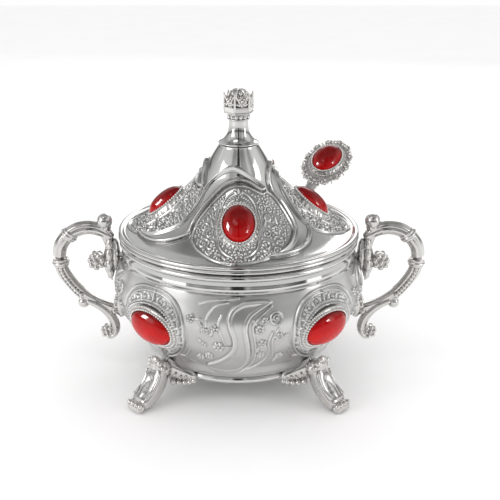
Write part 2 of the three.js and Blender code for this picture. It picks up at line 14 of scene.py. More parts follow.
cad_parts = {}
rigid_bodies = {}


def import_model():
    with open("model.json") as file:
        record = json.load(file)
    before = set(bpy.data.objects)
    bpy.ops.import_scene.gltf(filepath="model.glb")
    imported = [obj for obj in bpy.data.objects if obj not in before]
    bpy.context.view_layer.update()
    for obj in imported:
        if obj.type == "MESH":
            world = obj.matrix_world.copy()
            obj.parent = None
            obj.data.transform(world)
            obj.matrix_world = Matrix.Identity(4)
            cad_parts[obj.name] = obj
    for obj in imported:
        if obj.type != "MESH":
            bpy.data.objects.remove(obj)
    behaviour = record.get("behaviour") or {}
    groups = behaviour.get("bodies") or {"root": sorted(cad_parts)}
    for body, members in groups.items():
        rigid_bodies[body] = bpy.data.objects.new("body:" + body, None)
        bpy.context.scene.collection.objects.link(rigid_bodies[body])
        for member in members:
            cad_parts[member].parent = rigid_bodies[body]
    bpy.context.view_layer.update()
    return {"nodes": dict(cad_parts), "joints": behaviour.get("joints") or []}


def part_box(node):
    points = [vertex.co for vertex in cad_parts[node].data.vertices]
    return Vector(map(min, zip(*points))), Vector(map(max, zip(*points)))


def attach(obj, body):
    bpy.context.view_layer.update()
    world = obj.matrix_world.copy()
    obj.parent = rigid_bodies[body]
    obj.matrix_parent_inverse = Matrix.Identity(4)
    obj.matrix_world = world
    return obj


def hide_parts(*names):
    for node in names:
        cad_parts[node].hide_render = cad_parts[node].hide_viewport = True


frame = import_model()

MM = 0.001
TURN = 2 * math.pi
QUARTER = math.pi / 2


def size_of(node):
    """Lowest and highest corner of a CAD node, in millimetres from the bowl's axis at the table."""
    low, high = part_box(node)
    shift = Vector((0, AXIS_Y, 0))
    return np.array(low - shift) / MM, np.array(high - shift) / MM


AXIS_Y = (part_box("bowl")[0].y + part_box("bowl")[1].y) / 2
BASE_HEIGHT = size_of("bowl")[0][2]
RIM_HEIGHT = size_of("bowl")[1][2]
LID_TOP = size_of("lid")[1][2]
NECK_TOP = size_of("finial_neck")[1][2]
CROWN_TOP = size_of("finial_crown")[1][2]
HANDLE_REACH = size_of("handle_right")[1][0]
GAP = 0.3                       # air kept between neighbouring pieces
WALL = 1.5                      # thickness of the sheet

# ---------------------------------------------------------------- meshes


def new_mesh(name, points, face_groups, material, smooth=True):
    """A mesh object from points in millimetres and arrays of faces, each array with its own corner count."""
    mesh = bpy.data.meshes.new(name)
    points = np.asarray(points, float) * MM + np.array([0, AXIS_Y, 0])
    mesh.vertices.add(len(points))
    mesh.vertices.foreach_set("co", points.ravel())
    groups = [np.atleast_2d(group) for group in face_groups if len(group)]
    corners = np.concatenate([np.full(len(group), group.shape[1]) for group in groups])
    mesh.loops.add(int(corners.sum()))
    mesh.loops.foreach_set("vertex_index", np.concatenate([group.ravel() for group in groups]))
    mesh.polygons.add(len(corners))
    mesh.polygons.foreach_set("loop_start", np.concatenate([[0], np.cumsum(corners)[:-1]]))
    mesh.polygons.foreach_set("use_smooth", np.full(len(corners), smooth))
    mesh.update(calc_edges=True)
    mesh.materials.append(material)
    piece = bpy.data.objects.new(name, mesh)
    bpy.context.scene.collection.objects.link(piece)
    return piece


def grid_faces(rows, columns, wrap_rows=False, wrap_columns=True):
    """Quads between the points of a grid, stored row by row."""
    row_steps = rows if wrap_rows else rows - 1
    column_steps = columns if wrap_columns else columns - 1
    i, j = np.meshgrid(np.arange(row_steps), np.arange(column_steps), indexing="ij")
    next_i, next_j = (i + 1) % rows, (j + 1) % columns
    corners = [i * columns + j, i * columns + next_j, next_i * columns + next_j, next_i * columns + j]
    return np.stack(corners, axis=-1).reshape(-1, 4)


def carried(points, matrix):
    """Points carried along by a 4x4 matrix."""
    return points @ matrix[:3, :3].T + matrix[:3, 3]


def unit(vectors):
    """The same rows of vectors at length 1."""
    return vectors / np.linalg.norm(vectors, axis=1)[:, None]


def reach_along(path):
    """How far along a path each of its points is."""
    return np.concatenate([[0], np.cumsum(np.linalg.norm(np.diff(path, axis=0), axis=1))])


def angles(count):
    """So many even angles around a circle."""
    return np.arange(count) * TURN / count


class Shape:
    """Closed meshes put together point by point before they become one piece."""

    def __init__(self):
        self.points, self.faces, self.count = [], [], 0

    def add(self, points, face_groups):
        for group in face_groups:
            self.faces.append(np.atleast_2d(group) + self.count)
        self.points.append(np.asarray(points, float).reshape(-1, 3))
        self.count += len(self.points[-1])

    def grid(self, points, caps=True):
        """A tube: rings of points, with a flat cap on both ends."""
        rows, columns = points.shape[:2]
        ends = [np.arange(columns)[::-1], np.arange(columns) + (rows - 1) * columns]
        self.add(points, [grid_faces(rows, columns)] + (ends if caps else []))

    def moved(self, matrix):
        """This shape's points carried along by a 4x4 matrix."""
        other = Shape()
        points = carried(np.concatenate(self.points), matrix)
        other.points, other.faces, other.count = [points], self.faces, self.count
        return other

    def piece(self, name, material):
        widths = sorted({group.shape[1] for group in self.faces})
        groups = [np.concatenate([g for g in self.faces if g.shape[1] == width]) for width in widths]
        return new_mesh(name, np.concatenate(self.points), groups, material)


def catmull(points, steps):
    """A smooth curve through points, with so many steps between each two."""
    points = np.asarray(points, float)
    padded = np.concatenate([2 * points[:1] - points[1:2], points, 2 * points[-1:] - points[-2:-1]])
    t = np.linspace(0, 1, steps, endpoint=False)[:, None]
    out = []
    for a, b, c, d in zip(padded[:-3], padded[1:-2], padded[2:-1], padded[3:]):
        bend = (2 * a - 5 * b + 4 * c - d) * t**2
        twist = (3 * b - a - 3 * c + d) * t**3
        out.append(0.5 * (2 * b + (c - a) * t + bend + twist))
    return np.concatenate(out + [points[-1:]])


def closed_catmull(points, steps):
    """The same for a closed outline; the first point isn't repeated at the end."""
    points = np.asarray(points, float)
    looped = np.concatenate([points[-2:], points, points[:3]])
    curve = catmull(looped, steps)
    return curve[2 * steps: 2 * steps + len(points) * steps]


def rounded(points, times=2):
    """An outline with its corners cut off again and again, which rounds them. Its ends stay."""
    points = np.asarray(points, float)
    for _ in range(times):
        near = 0.75 * points[:-1] + 0.25 * points[1:]
        far = 0.25 * points[:-1] + 0.75 * points[1:]
        middle = np.stack([near, far], axis=1).reshape(-1, points.shape[1])
        points = np.concatenate([points[:1], middle[1:-1], points[-1:]])
    return points


def evenly(points, spacing):
    """The same curve with points at an even spacing."""
    reach = reach_along(points)
    places = np.linspace(0, reach[-1], max(2, int(round(reach[-1] / spacing)) + 1))
    return np.stack([np.interp(places, reach, axis) for axis in np.asarray(points).T], axis=1)


def oval(half, long_half, spacing):
    """Evenly spaced points around an oval."""
    turn = np.linspace(0, TURN, 241)
    ring = np.stack([half * np.cos(turn), long_half * np.sin(turn)], axis=1)
    return evenly(ring, spacing)[:-1]


def ease(value):
    """0 below 0, 1 above 1, and a smooth step between."""
    value = np.clip(value, 0, 1)
    return value * value * (3 - 2 * value)


def bell(distance, half_width):
    """1 on a line, falling smoothly to 0 at half_width from it."""
    return 0.5 + 0.5 * np.cos(np.pi * np.clip(distance / half_width, 0, 1))


# ---------------------------------------------------------------- relief patterns


def distance_to(path, x, y):
    """Distance from every place to a path, and how far along the path its nearest point is, from 0 to 1."""
    best, along = np.full(x.shape, np.inf), np.zeros(x.shape)
    lengths = np.maximum(np.linalg.norm(np.diff(path, axis=0), axis=1), 1e-9)
    starts = np.concatenate([[0], np.cumsum(lengths)])
    for (ax, ay), (bx, by), length, start in zip(path[:-1], path[1:], lengths, starts):
        ux, uy = (bx - ax) / length, (by - ay) / length
        reach = np.clip((x - ax) * ux + (y - ay) * uy, 0, length)
        gap = np.hypot(x - ax - reach * ux, y - ay - reach * uy)
        closer = gap < best
        best[closer] = gap[closer]
        along[closer] = ((start + reach) / starts[-1])[closer]
    return best, along


def within(outline, x, y):
    """True where a place is inside a closed outline."""
    found = np.zeros(x.shape, bool)
    for (ax, ay), (bx, by) in zip(outline, np.roll(outline, -1, axis=0)):
        if ay != by:
            found ^= ((ay > y) != (by > y)) & (x < (bx - ax) * (y - ay) / (by - ay) + ax)
    return found


class Relief:
    """Heights over a pattern plane in millimetres, x to the right and y up the wall."""

    def __init__(self, x, y):
        self.x, self.y = x, y
        self.height = np.zeros_like(x)

    def near(self, points, reach):
        low, high = np.min(points, axis=0) - reach, np.max(points, axis=0) + reach
        return (self.x > low[0]) & (self.x < high[0]) & (self.y > low[1]) & (self.y < high[1])

    def raise_to(self, where, height):
        self.height[where] = np.maximum(self.height[where], height)

    def line(self, path, width, height, tip=1.0):
        """A rounded ridge along a path, whose width shrinks to tip times at its far end."""
        where = self.near(path, width)
        gap, along = distance_to(path, self.x[where], self.y[where])
        self.raise_to(where, height * bell(gap, width / 2 * (1 + (tip - 1) * along)))

    def bead(self, x, y, radius, height):
        where = self.near([(x, y)], radius)
        gap = np.hypot(self.x[where] - x, self.y[where] - y) / radius
        self.raise_to(where, height * np.sqrt(np.clip(1 - gap**2, 0, 1)))

    def beads(self, path, spacing, radius, height):
        for x, y in evenly(path, spacing):
            self.bead(x, y, radius, height)

    def scroll(self, x, y, radius, start, hand, height=0.6, turns=1.25):
        """A spiral ridge that starts at an angle on its outside and curls in to a bead."""
        t = np.linspace(0, 1, 22)
        turn = start + hand * turns * TURN * t
        reach = radius * (1 - 0.82 * t)
        path = np.stack([x + reach * np.cos(turn), y + reach * np.sin(turn)], axis=1)
        self.line(path, 0.95, height, tip=0.8)
        self.bead(x, y, radius * 0.3, height * 1.2)

    def leaf(self, x, y, angle, length, width, height=0.5):
        """A pointed leaf with a raised middle rib that grows from a place at an angle."""
        tip = (x + length * math.cos(angle), y + length * math.sin(angle))
        where = self.near([(x, y), tip], width)
        dx, dy = self.x[where] - x, self.y[where] - y
        along = np.clip((dx * math.cos(angle) + dy * math.sin(angle)) / length, 0, 1)
        across = np.abs(dy * math.cos(angle) - dx * math.sin(angle))
        half = width / 2 * np.sin(np.pi * along**0.75) + 1e-6
        body = np.sqrt(np.clip(1 - (across / half) ** 2, 0, 1))
        self.raise_to(where, height * body * (0.7 + 0.3 * bell(across, width * 0.2)))

    def rosette(self, x, y, radius, height=0.55, petals=6, start=0.0):
        """A small flower: a bead with round petals about it."""
        self.bead(x, y, radius * 0.3, height * 1.15)
        for k in range(petals):
            turn = start + TURN * k / petals
            place = (x + radius * 0.66 * math.cos(turn), y + radius * 0.66 * math.sin(turn))
            self.bead(*place, radius * 0.36, height)

    def disc(self, x, y, radius, height):
        """A smooth raised button with a soft edge."""
        where = self.near([(x, y)], radius)
        gap = np.hypot(self.x[where] - x, self.y[where] - y)
        self.raise_to(where, height * ease((radius - gap) / 0.7))

    def band(self, outline, height, bevel, dish, groove):
        """A raised ribbon inside an outline: a rounded rim, a fine groove inside it and a dished middle."""
        where = self.near(outline, 0)
        x, y = self.x[where], self.y[where]
        depth, _ = distance_to(np.concatenate([outline, outline[:1]]), x, y)
        depth = np.where(within(outline, x, y), depth, 0)
        body = height * np.sin(QUARTER * np.clip(depth / bevel, 0, 1))
        body -= dish * ease((depth - bevel) / (1.8 * bevel))
        body -= groove * bell(np.abs(depth - bevel * 1.45), 0.42)
        self.raise_to(where, np.where(depth > 0, body, 0))


def grains(rng, field, inside, clear_of, spacing, radius, height):
    """Fine beads that fill what is still bare inside an outline, never closer than the spacing."""
    low, high = inside.min(axis=0), inside.max(axis=0)
    kept = []
    for place in rng.uniform(low, high, (2600, 2)):
        if kept and np.min(np.hypot(*(np.array(kept) - place).T)) < spacing:
            continue
        if not within(inside, place[:1], place[1:])[0] or clear_of(*place):
            continue
        where = field.near([tuple(place)], spacing * 0.6)
        if where.any() and field.height[where].max() < 0.12:
            kept.append(place)
    for x, y in kept:
        field.bead(x, y, radius, height)


# ---------------------------------------------------------------- outlines of the bowl and the lid

# [radius, height] up the outside of the bowl: its foot ring, its side and its rolled rim.
bowl_foot = rounded([
    (36.2, 10.6), (38.6, 10.6), (39.5, 11.4), (39.5, 12.6), (38.9, 13.4), (39.4, 14), (41, 15.2),
    (42.4, 16.6),
], 1)
bowl_side = catmull([
    (42.4, 16.6), (49.7, 26.4), (54.3, 34.0), (56.9, 43.6), (54.7, 53.4), (52.3, 61.4),
], 12)
bowl_rim = rounded([
    (52.3, 61.4), (52.2, 63.2), (52.8, 63.5), (53.4, 64), (53.5, 64.8), (53, 65.5), (52.2, 65.8),
    (51.9, 66),
], 2)
bowl_outside = np.concatenate([bowl_foot[:-1], evenly(bowl_side, 0.28)[:-1], bowl_rim])

# [radius, height] from the lid's edge up its tent to the finial's seat.
lid_edge = rounded([
    (51.9, 66.3), (52.6, 66.6), (53.6, 66.9), (54, 67.5), (53.7, 68.1), (53.1, 68.3), (53.7, 68.6),
    (54, 69.2), (53.6, 69.9), (52.8, 70.2), (52, 70), (51.4, 69.6), (50.6, 69.4), (49.5, 69.7),
], 2)
lid_tent = catmull([
    (49.5, 69.7), (44.7, 71), (37, 75.5), (26.2, 84.2), (17.2, 93.3), (12.5, 101.6), (8.9, LID_TOP - 0.8),
], 12)
lid_shoulder = rounded([(8.9, LID_TOP - 0.8), (8.7, LID_TOP - 0.2), (8.3, LID_TOP), (5, LID_TOP)], 1)
lid_outside = np.concatenate([lid_edge[:-1], evenly(lid_tent, 0.28)[:-1], lid_shoulder])


def beside(outline, distance):
    """The same outline moved sideways, positive to its left."""
    slope = unit(np.gradient(outline, axis=0))
    return outline + distance * np.stack([-slope[:, 1], slope[:, 0]], axis=1)


def wall_radius(outline, height):
    """Radius of a wall that leans one way all along, at a height."""
    order = np.argsort(outline[:, 1])
    return np.interp(height, outline[order, 1], outline[order, 0])


def turned(outline, azimuths, proud=None):
    """Points of an outline turned about the axis, pushed out of the surface by proud where it is given."""
    slope = unit(np.gradient(outline, axis=0))
    radius, height = outline[:, :1], outline[:, 1:]
    if proud is not None:
        radius = radius + proud * slope[:, 1:]
        height = height - proud * slope[:, :1]
    radius = np.broadcast_to(radius, (len(outline), len(azimuths)))
    height = np.broadcast_to(height, radius.shape)
    return np.stack([radius * np.sin(azimuths), -radius * np.cos(azimuths), height], axis=-1)


# ---------------------------------------------------------------- the lid's relief

LID_STONE_RADIUS = 31.2
BOWL_STONE_HEIGHT = 39.0
LID_STONE = {"length": 18.0, "width": 13.0, "rise": 5.0}
BOWL_STONE = {"length": 22.0, "width": 16.0, "rise": 5.5}
STONE_AZIMUTH = 41              # of the bowl's stones, from the front and from the back

CONE_SHARE = 0.775              # what a turn about the tent shrinks to when the tent is unrolled
FILIGREE_STRENGTH = 1.5         # what the filigree's heights are multiplied by
tent_down = evenly(lid_tent, 0.28)[::-1]
tent_reach = reach_along(tent_down) + tent_down[0, 0] / CONE_SHARE


def lid_plane(azimuth, radius):
    """The tent unrolled flat: degrees and a radius to x, y about the middle of the front stone."""
    reach = np.interp(radius, tent_down[:, 0], tent_reach)
    middle = np.interp(LID_STONE_RADIUS, tent_down[:, 0], tent_reach)
    turn = np.radians(azimuth) * CONE_SHARE
    return reach * np.sin(turn), middle - reach * np.cos(turn)


def on_lid(*places):
    return np.stack([lid_plane(azimuth, radius) for azimuth, radius in places])


def lid_pattern(azimuth, radius, rng):
    """One quarter's ribbon and filigree panel, centred on the front stone, in millimetres of height."""
    field = Relief(*lid_plane(azimuth, radius))
    ribbon = closed_catmull(on_lid(
        (38, 18.6), (22, 15), (-3, 12.9), (-25, 13.4), (-41, 15.6), (-47, 19.4), (-44, 24), (-45, 29),
        (-48, 33.6), (-54, 37.5), (-61, 41), (-69, 43.8), (-77, 45.6), (-68, 46.4), (-57, 45.8), (-47, 43.4),
        (-39, 40), (-34, 36.5), (-35, 32), (-33, 26), (-24, 19.6), (-8, 16.6), (10, 16.6), (28, 19.6),
    ), 6)
    field.band(ribbon, height=2.0, bevel=1.0, dish=1.1, groove=0.15)
    panel = closed_catmull(on_lid(
        (29, 20.2), (10, 17.4), (-8, 17.5), (-22, 20.6), (-31, 27), (-33, 33), (-31, 37.6), (-25, 41.6),
        (-17, 45.2), (-10, 48.2), (-2, 49.4), (8, 48.2), (17, 45.4), (26, 42.6), (34, 39.2), (41, 34.6),
        (44, 29), (43.5, 23.6), (38, 20),
    ), 6)
    edge = np.concatenate([panel, panel[:1]])
    field.line(edge, 1.15, 1.1)
    filigree = Relief(field.x, field.y)
    lid_filigree(filigree)

    def clear_of(x, y):
        """Where the stone and its setting lie."""
        return math.hypot(x / 8.9, y / 11.4) < 1

    grains(rng, filigree, panel * 0.93, clear_of, spacing=1.25, radius=0.55, height=0.55)
    depth, _ = distance_to(edge, field.x, field.y)
    inner = within(panel, field.x, field.y) & (depth > 1.1)
    return np.maximum(field.height, np.where(inner, FILIGREE_STRENGTH * filigree.height, 0))


def lid_filigree(field):
    """Scrolls, leaves, little flowers and beads about the stone, as they lie in the unrolled panel."""
    for side in (-1, 1):
        for path, width, tip in (
                ([(8.9, 7), (8.2, 11), (5.6, 14.6), (2.4, 16.6)], 0.95, 1.0),
                ([(10, 8.6), (11, 4), (10.9, -1), (9.9, -5.4)], 1.0, 0.5),
                ([(9.6, -7), (8.6, -11), (5.6, -14.6), (2.6, -16.4)], 0.95, 0.6)):
            field.line(catmull([(side * x, y) for x, y in path], 6), width, 0.6, tip)
        inner_hood = catmull([(side * 6.6, 11), (side * 4.6, 13.2), (side * 1.8, 14.6)], 6)
        field.beads(inner_hood, 1.15, 0.5, 0.5)
        for x, y, radius, start, hand in ((11.8, 10.4, 2.1, QUARTER - side * 2.2, side),
                                          (13.6, -2.6, 2.2, QUARTER, -side),
                                          (12.6, -8.4, 2.6, -QUARTER, side),
                                          (9.6, -16.6, 2.2, QUARTER + side * 0.6, -side)):
            field.scroll(side * x, y, radius, start, hand)
        field.rosette(side * 14.4, -13.2, 1.9)
        for x, y, angle, length, width in ((0.6, 15.2, QUARTER - side * 0.75, 3.0, 1.7),
                                           (12.6, 1, QUARTER - side * 0.3, 4.6, 1.8),
                                           (11.4, -11.4, -QUARTER + side * 0.9, 4.2, 1.7),
                                           (7.6, -15, -QUARTER - side * 0.6, 3.6, 1.6)):
            field.leaf(side * x, y, angle, length, width)
    field.rosette(0, -15, 2.0, petals=5, start=QUARTER)
    # The panel is wider to the right, where a smooth button, a second flower and longer scrolls fill it.
    field.line(circle(-16.4, 1.4, 1.7), 0.8, 0.55)
    field.bead(-16.4, 1.4, 0.7, 0.6)
    field.disc(14.6, 5.6, 2.3, 0.55)
    field.rosette(18.6, 0.2, 2.3, petals=7)
    for x, y, radius, start, hand in ((-16.6, -7.4, 2.6, 0.4, 1), (15.6, 10.2, 2.1, math.pi, -1),
                                      (19.4, -5.8, 2.8, 2.4, -1), (18, -11.4, 2.2, 0.6, 1)):
        field.scroll(x, y, radius, start, hand)
    for x, y, angle, length, width in ((0, 15.4, QUARTER, 3.4, 1.9), (0, -17, -2.3, 3.0, 1.5),
                                       (0, -17, -QUARTER, 3.0, 1.5), (0, -17, -0.85, 3.0, 1.5),
                                       (-15.6, 4.4, QUARTER + 0.1, 3.4, 1.5),
                                       (19.6, 3.2, QUARTER + 0.3, 4.6, 1.7),
                                       (21.2, -2.6, -QUARTER - 0.2, 4, 1.5)):
        field.leaf(x, y, angle, length, width)


def circle(x, y, radius, steps=14):
    turn = np.linspace(0, TURN, steps + 1)
    return np.stack([x + radius * np.cos(turn), y + radius * np.sin(turn)], axis=1)


# ---------------------------------------------------------------- the bowl's relief

side_reach = reach_along(bowl_outside)
BELLY_SPREAD = 54.0             # radius at which the wall's azimuths are laid out flat


def bowl_plane(azimuth, height):
    """The wall laid out flat: degrees and a height to x, y, with y = 0 at the stones' height."""
    reach = np.interp(height, bowl_outside[:, 1], side_reach)
    middle = np.interp(BOWL_STONE_HEIGHT, bowl_outside[:, 1], side_reach)
    return np.radians(azimuth) * BELLY_SPREAD, reach - middle


def on_bowl(*places):
    return np.stack([bowl_plane(azimuth, height) for azimuth, height in places])


# The hooked lines beside the ribbon: [azimuth, height] places, width, height and what the width shrinks to.
BOWL_LINES = [
    ([(16, 53), (11.6, 50), (8, 47.2), (6.6, 43.6), (7.6, 38.6), (8.6, 32), (8.4, 26.6), (5.6, 21.2),
      (0.6, 18)], 0.9, 0.5, 1.0),
    ([(-19, 53.6), (-13, 55.4), (-6, 56), (0, 56.6)], 1.0, 0.55, 1.0),
    ([(-5, 55), (-10, 53.8), (-13.4, 51.2), (-15.2, 48), (-15.6, 43)], 0.9, 0.5, 0.5),
    ([(16, 42), (14.6, 37), (15.4, 32), (14.6, 26.6), (10.6, 22.4), (5, 19.4)], 0.9, 0.5, 0.7),
    ([(19, 43.6), (16.6, 38), (17.2, 33), (18, 28)], 0.8, 0.4, 0.5),
    ([(-8, 50), (-9.6, 46), (-8, 40), (-6.8, 36)], 0.8, 0.4, 0.5),
]
# The little flowers between the ribbon and the cartouches: azimuth, height and radius.
BOWL_FLOWERS = [
    (-23, 47.6, 2.0), (-16, 42.4, 1.9), (-11.2, 43.8, 2.0), (-9.8, 34.6, 2.7), (-17.4, 35, 1.7),
    (-15.6, 28.6, 2.1), (-20.6, 27.2, 2.0), (9.8, 43.6, 2.2), (11.4, 36.4, 2.1), (19.2, 39.4, 2.0),
    (11.2, 29.6, 1.9), (21.6, 27.6, 2.1), (12.6, 47.6, 1.6),
]
BOWL_STRENGTH = 1.9             # what the relief's heights are multiplied by, before SINK cuts them off


def bowl_pattern(azimuth, height, rng):
    """One quarter of the wall: a plain ribbon down its middle and half a cartouche on both sides."""
    x, y = bowl_plane(azimuth, height)
    field = Relief(x, y)
    ribbon = closed_catmull(on_bowl(
        (16.5, 54.6), (12, 56), (6, 56), (1, 55.2), (-3.4, 52.6), (-5.4, 48.6), (-4.8, 44), (-3.4, 39.6),
        (-3.2, 35.6), (-5, 31.4), (-9, 27.6), (-14, 24.8), (-18.4, 22.8), (-18.6, 20.2), (-14, 18.2),
        (-7, 17.7), (-1, 18.8), (3.6, 21.8), (6, 26.6), (6.2, 32), (5.2, 38.6), (4.4, 44.2), (6, 48.6),
        (10.4, 51.4),
    ), 6)
    field.band(ribbon, height=0.72, bevel=0.95, dish=0.3, groove=0.14)
    for places, width, proud, tip in BOWL_LINES:
        field.line(catmull(on_bowl(*places), 6), width, proud, tip)
    bowl_flowers(field)
    for side in (-1, 1):
        bowl_cartouche(field, side * 45, rng)
    return BOWL_STRENGTH * field.height


def bowl_flowers(field):
    """The little flowers and the scroll circle between the ribbon and the cartouches."""
    for k, (azimuth, height, radius) in enumerate(BOWL_FLOWERS):
        x, y = bowl_plane(azimuth, height)
        field.rosette(x, y, radius, petals=5 + k % 2, start=0.7 * k)
        stem_angle = 2.1 * k
        foot = (x + radius * 1.05 * math.cos(stem_angle), y + radius * 1.05 * math.sin(stem_angle))
        field.leaf(*foot, stem_angle, radius * 1.5, 1.4, height=0.42)
    x, y = bowl_plane(18, 48)
    field.line(circle(x, y, 2.7, 20), 0.8, 0.5)
    field.scroll(x, y, 1.7, 1.0, 1, height=0.55)


def bowl_cartouche(field, azimuth, rng):
    """The double-lined frame about a bowl stone, with leaves, beads and a pierced-looking ground."""
    x, y = bowl_plane(azimuth, BOWL_STONE_HEIGHT)
    half = [(0, 17.6), (7, 16.9), (12.6, 14), (16, 9), (17.4, 3), (16.8, -3.6), (14.2, -9.6), (9.8, -14.8),
            (4.6, -18.6), (0, -20.6)]
    frame_line = closed_catmull(half + [(-a, b) for a, b in half[-2:0:-1]], 5)
    shrunk = frame_line * 0.9 + np.array([x, y])
    for outline, width, height in ((frame_line + np.array([x, y]), 1.1, 0.7), (shrunk, 0.8, 0.45)):
        field.line(np.concatenate([outline, outline[:1]]), width, height)
    for out, radius in ((2.6, 0.62), (3.9, 0.5)):
        for dx, dy in oval(BOWL_STONE["length"] / 2 + out, BOWL_STONE["width"] / 2 + out, 2.3 * radius):
            field.bead(x + dx, y + dy, radius, 0.5)
    leaves = 22
    for k in range(leaves):
        turn = TURN * k / leaves
        place = (x + 15.3 * math.cos(turn), y + 12.3 * math.sin(turn))
        field.leaf(*place, turn, 2.6, 1.8, height=0.5)
    for side in (-1, 1):
        for dx, dy, radius, start, hand in ((4.4, 12.8, 1.9, QUARTER, 1), (9.6, 10.8, 1.7, QUARTER, -1),
                                            (6.6, -12.2, 1.9, -QUARTER, 1), (3.2, -15.2, 1.5, -QUARTER, -1)):
            field.scroll(x + side * dx, y + dy, radius, start, side * hand, height=0.5)
        loop = [(x + side * dx, y + dy) for dx, dy in ((9, -15.4), (13, -15.8), (16, -12.6), (18.4, -9))]
        field.line(catmull(loop, 6), 1.1, 0.3, tip=0.5)
    field.leaf(x, y + 11.6, QUARTER, 4.6, 2.2)

    def clear_of(px, py):
        """Where the stone and its setting lie."""
        return math.hypot((px - x) / 13.4, (py - y) / 10.4) < 1

    grains(rng, field, shrunk, clear_of, spacing=1.3, radius=0.5, height=0.3)


def whole_turn(pattern, places, columns, seed):
    """A quarter's pattern laid four times about the axis, with what reaches over its borders."""
    azimuths = np.arange(columns // 4) * (360 / columns) - 45
    degrees, level = np.meshgrid(azimuths, places)
    wide = [pattern(degrees + shift, level, np.random.default_rng(seed)) for shift in (-90, 0, 90)]
    return np.tile(np.maximum.reduce(wide), 4), np.radians(np.tile(azimuths, 4) + np.repeat(
        [0, 90, 180, 270], len(azimuths)))


# ---------------------------------------------------------------- materials


def set_stops(node, stops):
    """A colour ramp's stops: their positions, and their colours or greys."""
    points = node.color_ramp.elements
    while len(points) < len(stops):
        points.new(0.5)
    for point, (position, colour) in zip(points, stops):
        point.position = position
        point.color = (*colour, 1) if isinstance(colour, tuple) else (colour, colour, colour, 1)
    return node.outputs["Color"]


class Nodes:
    """A node material, with short calls for the nodes it needs."""

    def __init__(self, name):
        self.material = bpy.data.materials.new(name)
        self.material.use_nodes = True
        self.tree = self.material.node_tree
        self.shader = self.tree.nodes["Principled BSDF"]

    def add(self, kind, inputs=(), **settings):
        node = self.tree.nodes.new(kind)
        for key, value in settings.items():
            setattr(node, key, value)
        for key, value in dict(inputs).items():
            if isinstance(value, bpy.types.NodeSocket):
                self.tree.links.new(value, node.inputs[key])
            else:
                node.inputs[key].default_value = value
        return node

    def place(self, stretch=(1, 1, 1)):
        """Object coordinates in millimetres."""
        coordinates = self.add("ShaderNodeTexCoord").outputs["Object"]
        scale = [part / MM for part in stretch]
        return self.add("ShaderNodeMapping", {"Vector": coordinates, "Scale": scale}).outputs["Vector"]

    def noise(self, place, per_mm, detail=3.0, roughness=0.55):
        inputs = {"Vector": place, "Scale": per_mm, "Detail": detail, "Roughness": roughness}
        return self.add("ShaderNodeTexNoise", inputs).outputs["Fac"]

    def ramp(self, value, stops):
        return set_stops(self.add("ShaderNodeValToRGB", {"Fac": value}), stops)

    def step(self, value, low, high):
        """0 at low, 1 at high and straight between."""
        inputs = {"Value": value, "From Min": low, "From Max": high}
        return self.add("ShaderNodeMapRange", inputs).outputs["Result"]

    def blend(self, share, first, second, kind="MIX"):
        node = self.add("ShaderNodeMix", data_type="RGBA", blend_type=kind)
        sockets = [node.inputs[0], node.inputs[6], node.inputs[7]]
        for socket, value in zip(sockets, (share, first, second)):
            if isinstance(value, bpy.types.NodeSocket):
                self.tree.links.new(value, socket)
            else:
                socket.default_value = value
        return node.outputs[2]

    def link(self, value, socket):
        self.tree.links.new(value, self.shader.inputs[socket])

    def bump(self, height, distance, strength=1.0, normal=None):
        inputs = {"Height": height, "Distance": distance * MM, "Strength": strength}
        if normal is not None:
            inputs["Normal"] = normal
        return self.add("ShaderNodeBump", inputs).outputs["Normal"]


def silver(name, high, low, glossy, worn, grain, grain_per_mm, satin=None):
    """Silver plate: bright on its raised parts, with painted shade (partly tarnish) in its hollows, faintly
    clouded and scratched.

    high is the raised parts' colour, low the painted shade (partly tarnish) of hollows; glossy and worn the
    least and most roughness.
    satin is the lowest and highest level, in millimetres, of a more matt zone, and its roughness.
    """
    nodes = Nodes(name)
    place = nodes.place()
    edges = nodes.add("ShaderNodeNewGeometry").outputs["Pointiness"]
    # Painted shade, partly tarnish: pointiness picks out the hollows and greys them towards the low colour.
    raised = nodes.ramp(edges, [(0.44, 0.0), (0.53, 1.0)])
    cloud = nodes.ramp(nodes.noise(place, 0.11), [(0.35, 0.94), (0.65, 1.0)])
    tone_with_painted_shade = nodes.blend(raised, (*low, 1), (*high, 1))
    nodes.link(nodes.blend(1.0, tone_with_painted_shade, cloud, "MULTIPLY"), "Base Color")
    rubbed = nodes.noise(nodes.place((1, 1, 0.25)), 0.35, detail=5.0)
    roughness = nodes.ramp(rubbed, [(0.3, glossy), (0.7, worn)])
    if satin:
        lowest, highest, matt = satin
        level = nodes.add("ShaderNodeSeparateXYZ", {"Vector": place}).outputs["Z"]
        over = nodes.step(level, lowest - 1, lowest)
        under = nodes.step(level, highest + 1, highest)
        zone = nodes.blend(1.0, over, under, "MULTIPLY")
        roughness = nodes.blend(zone, roughness, (matt, matt, matt, 1))
    nodes.link(roughness, "Roughness")
    scratches = nodes.noise(nodes.place((1, 1, 9)), 1.4, detail=2.0)
    fine = nodes.bump(scratches, grain * 0.3)
    nodes.link(nodes.bump(nodes.noise(place, grain_per_mm), grain, normal=fine), "Normal")
    nodes.shader.inputs["Metallic"].default_value = 1.0
    return nodes.material


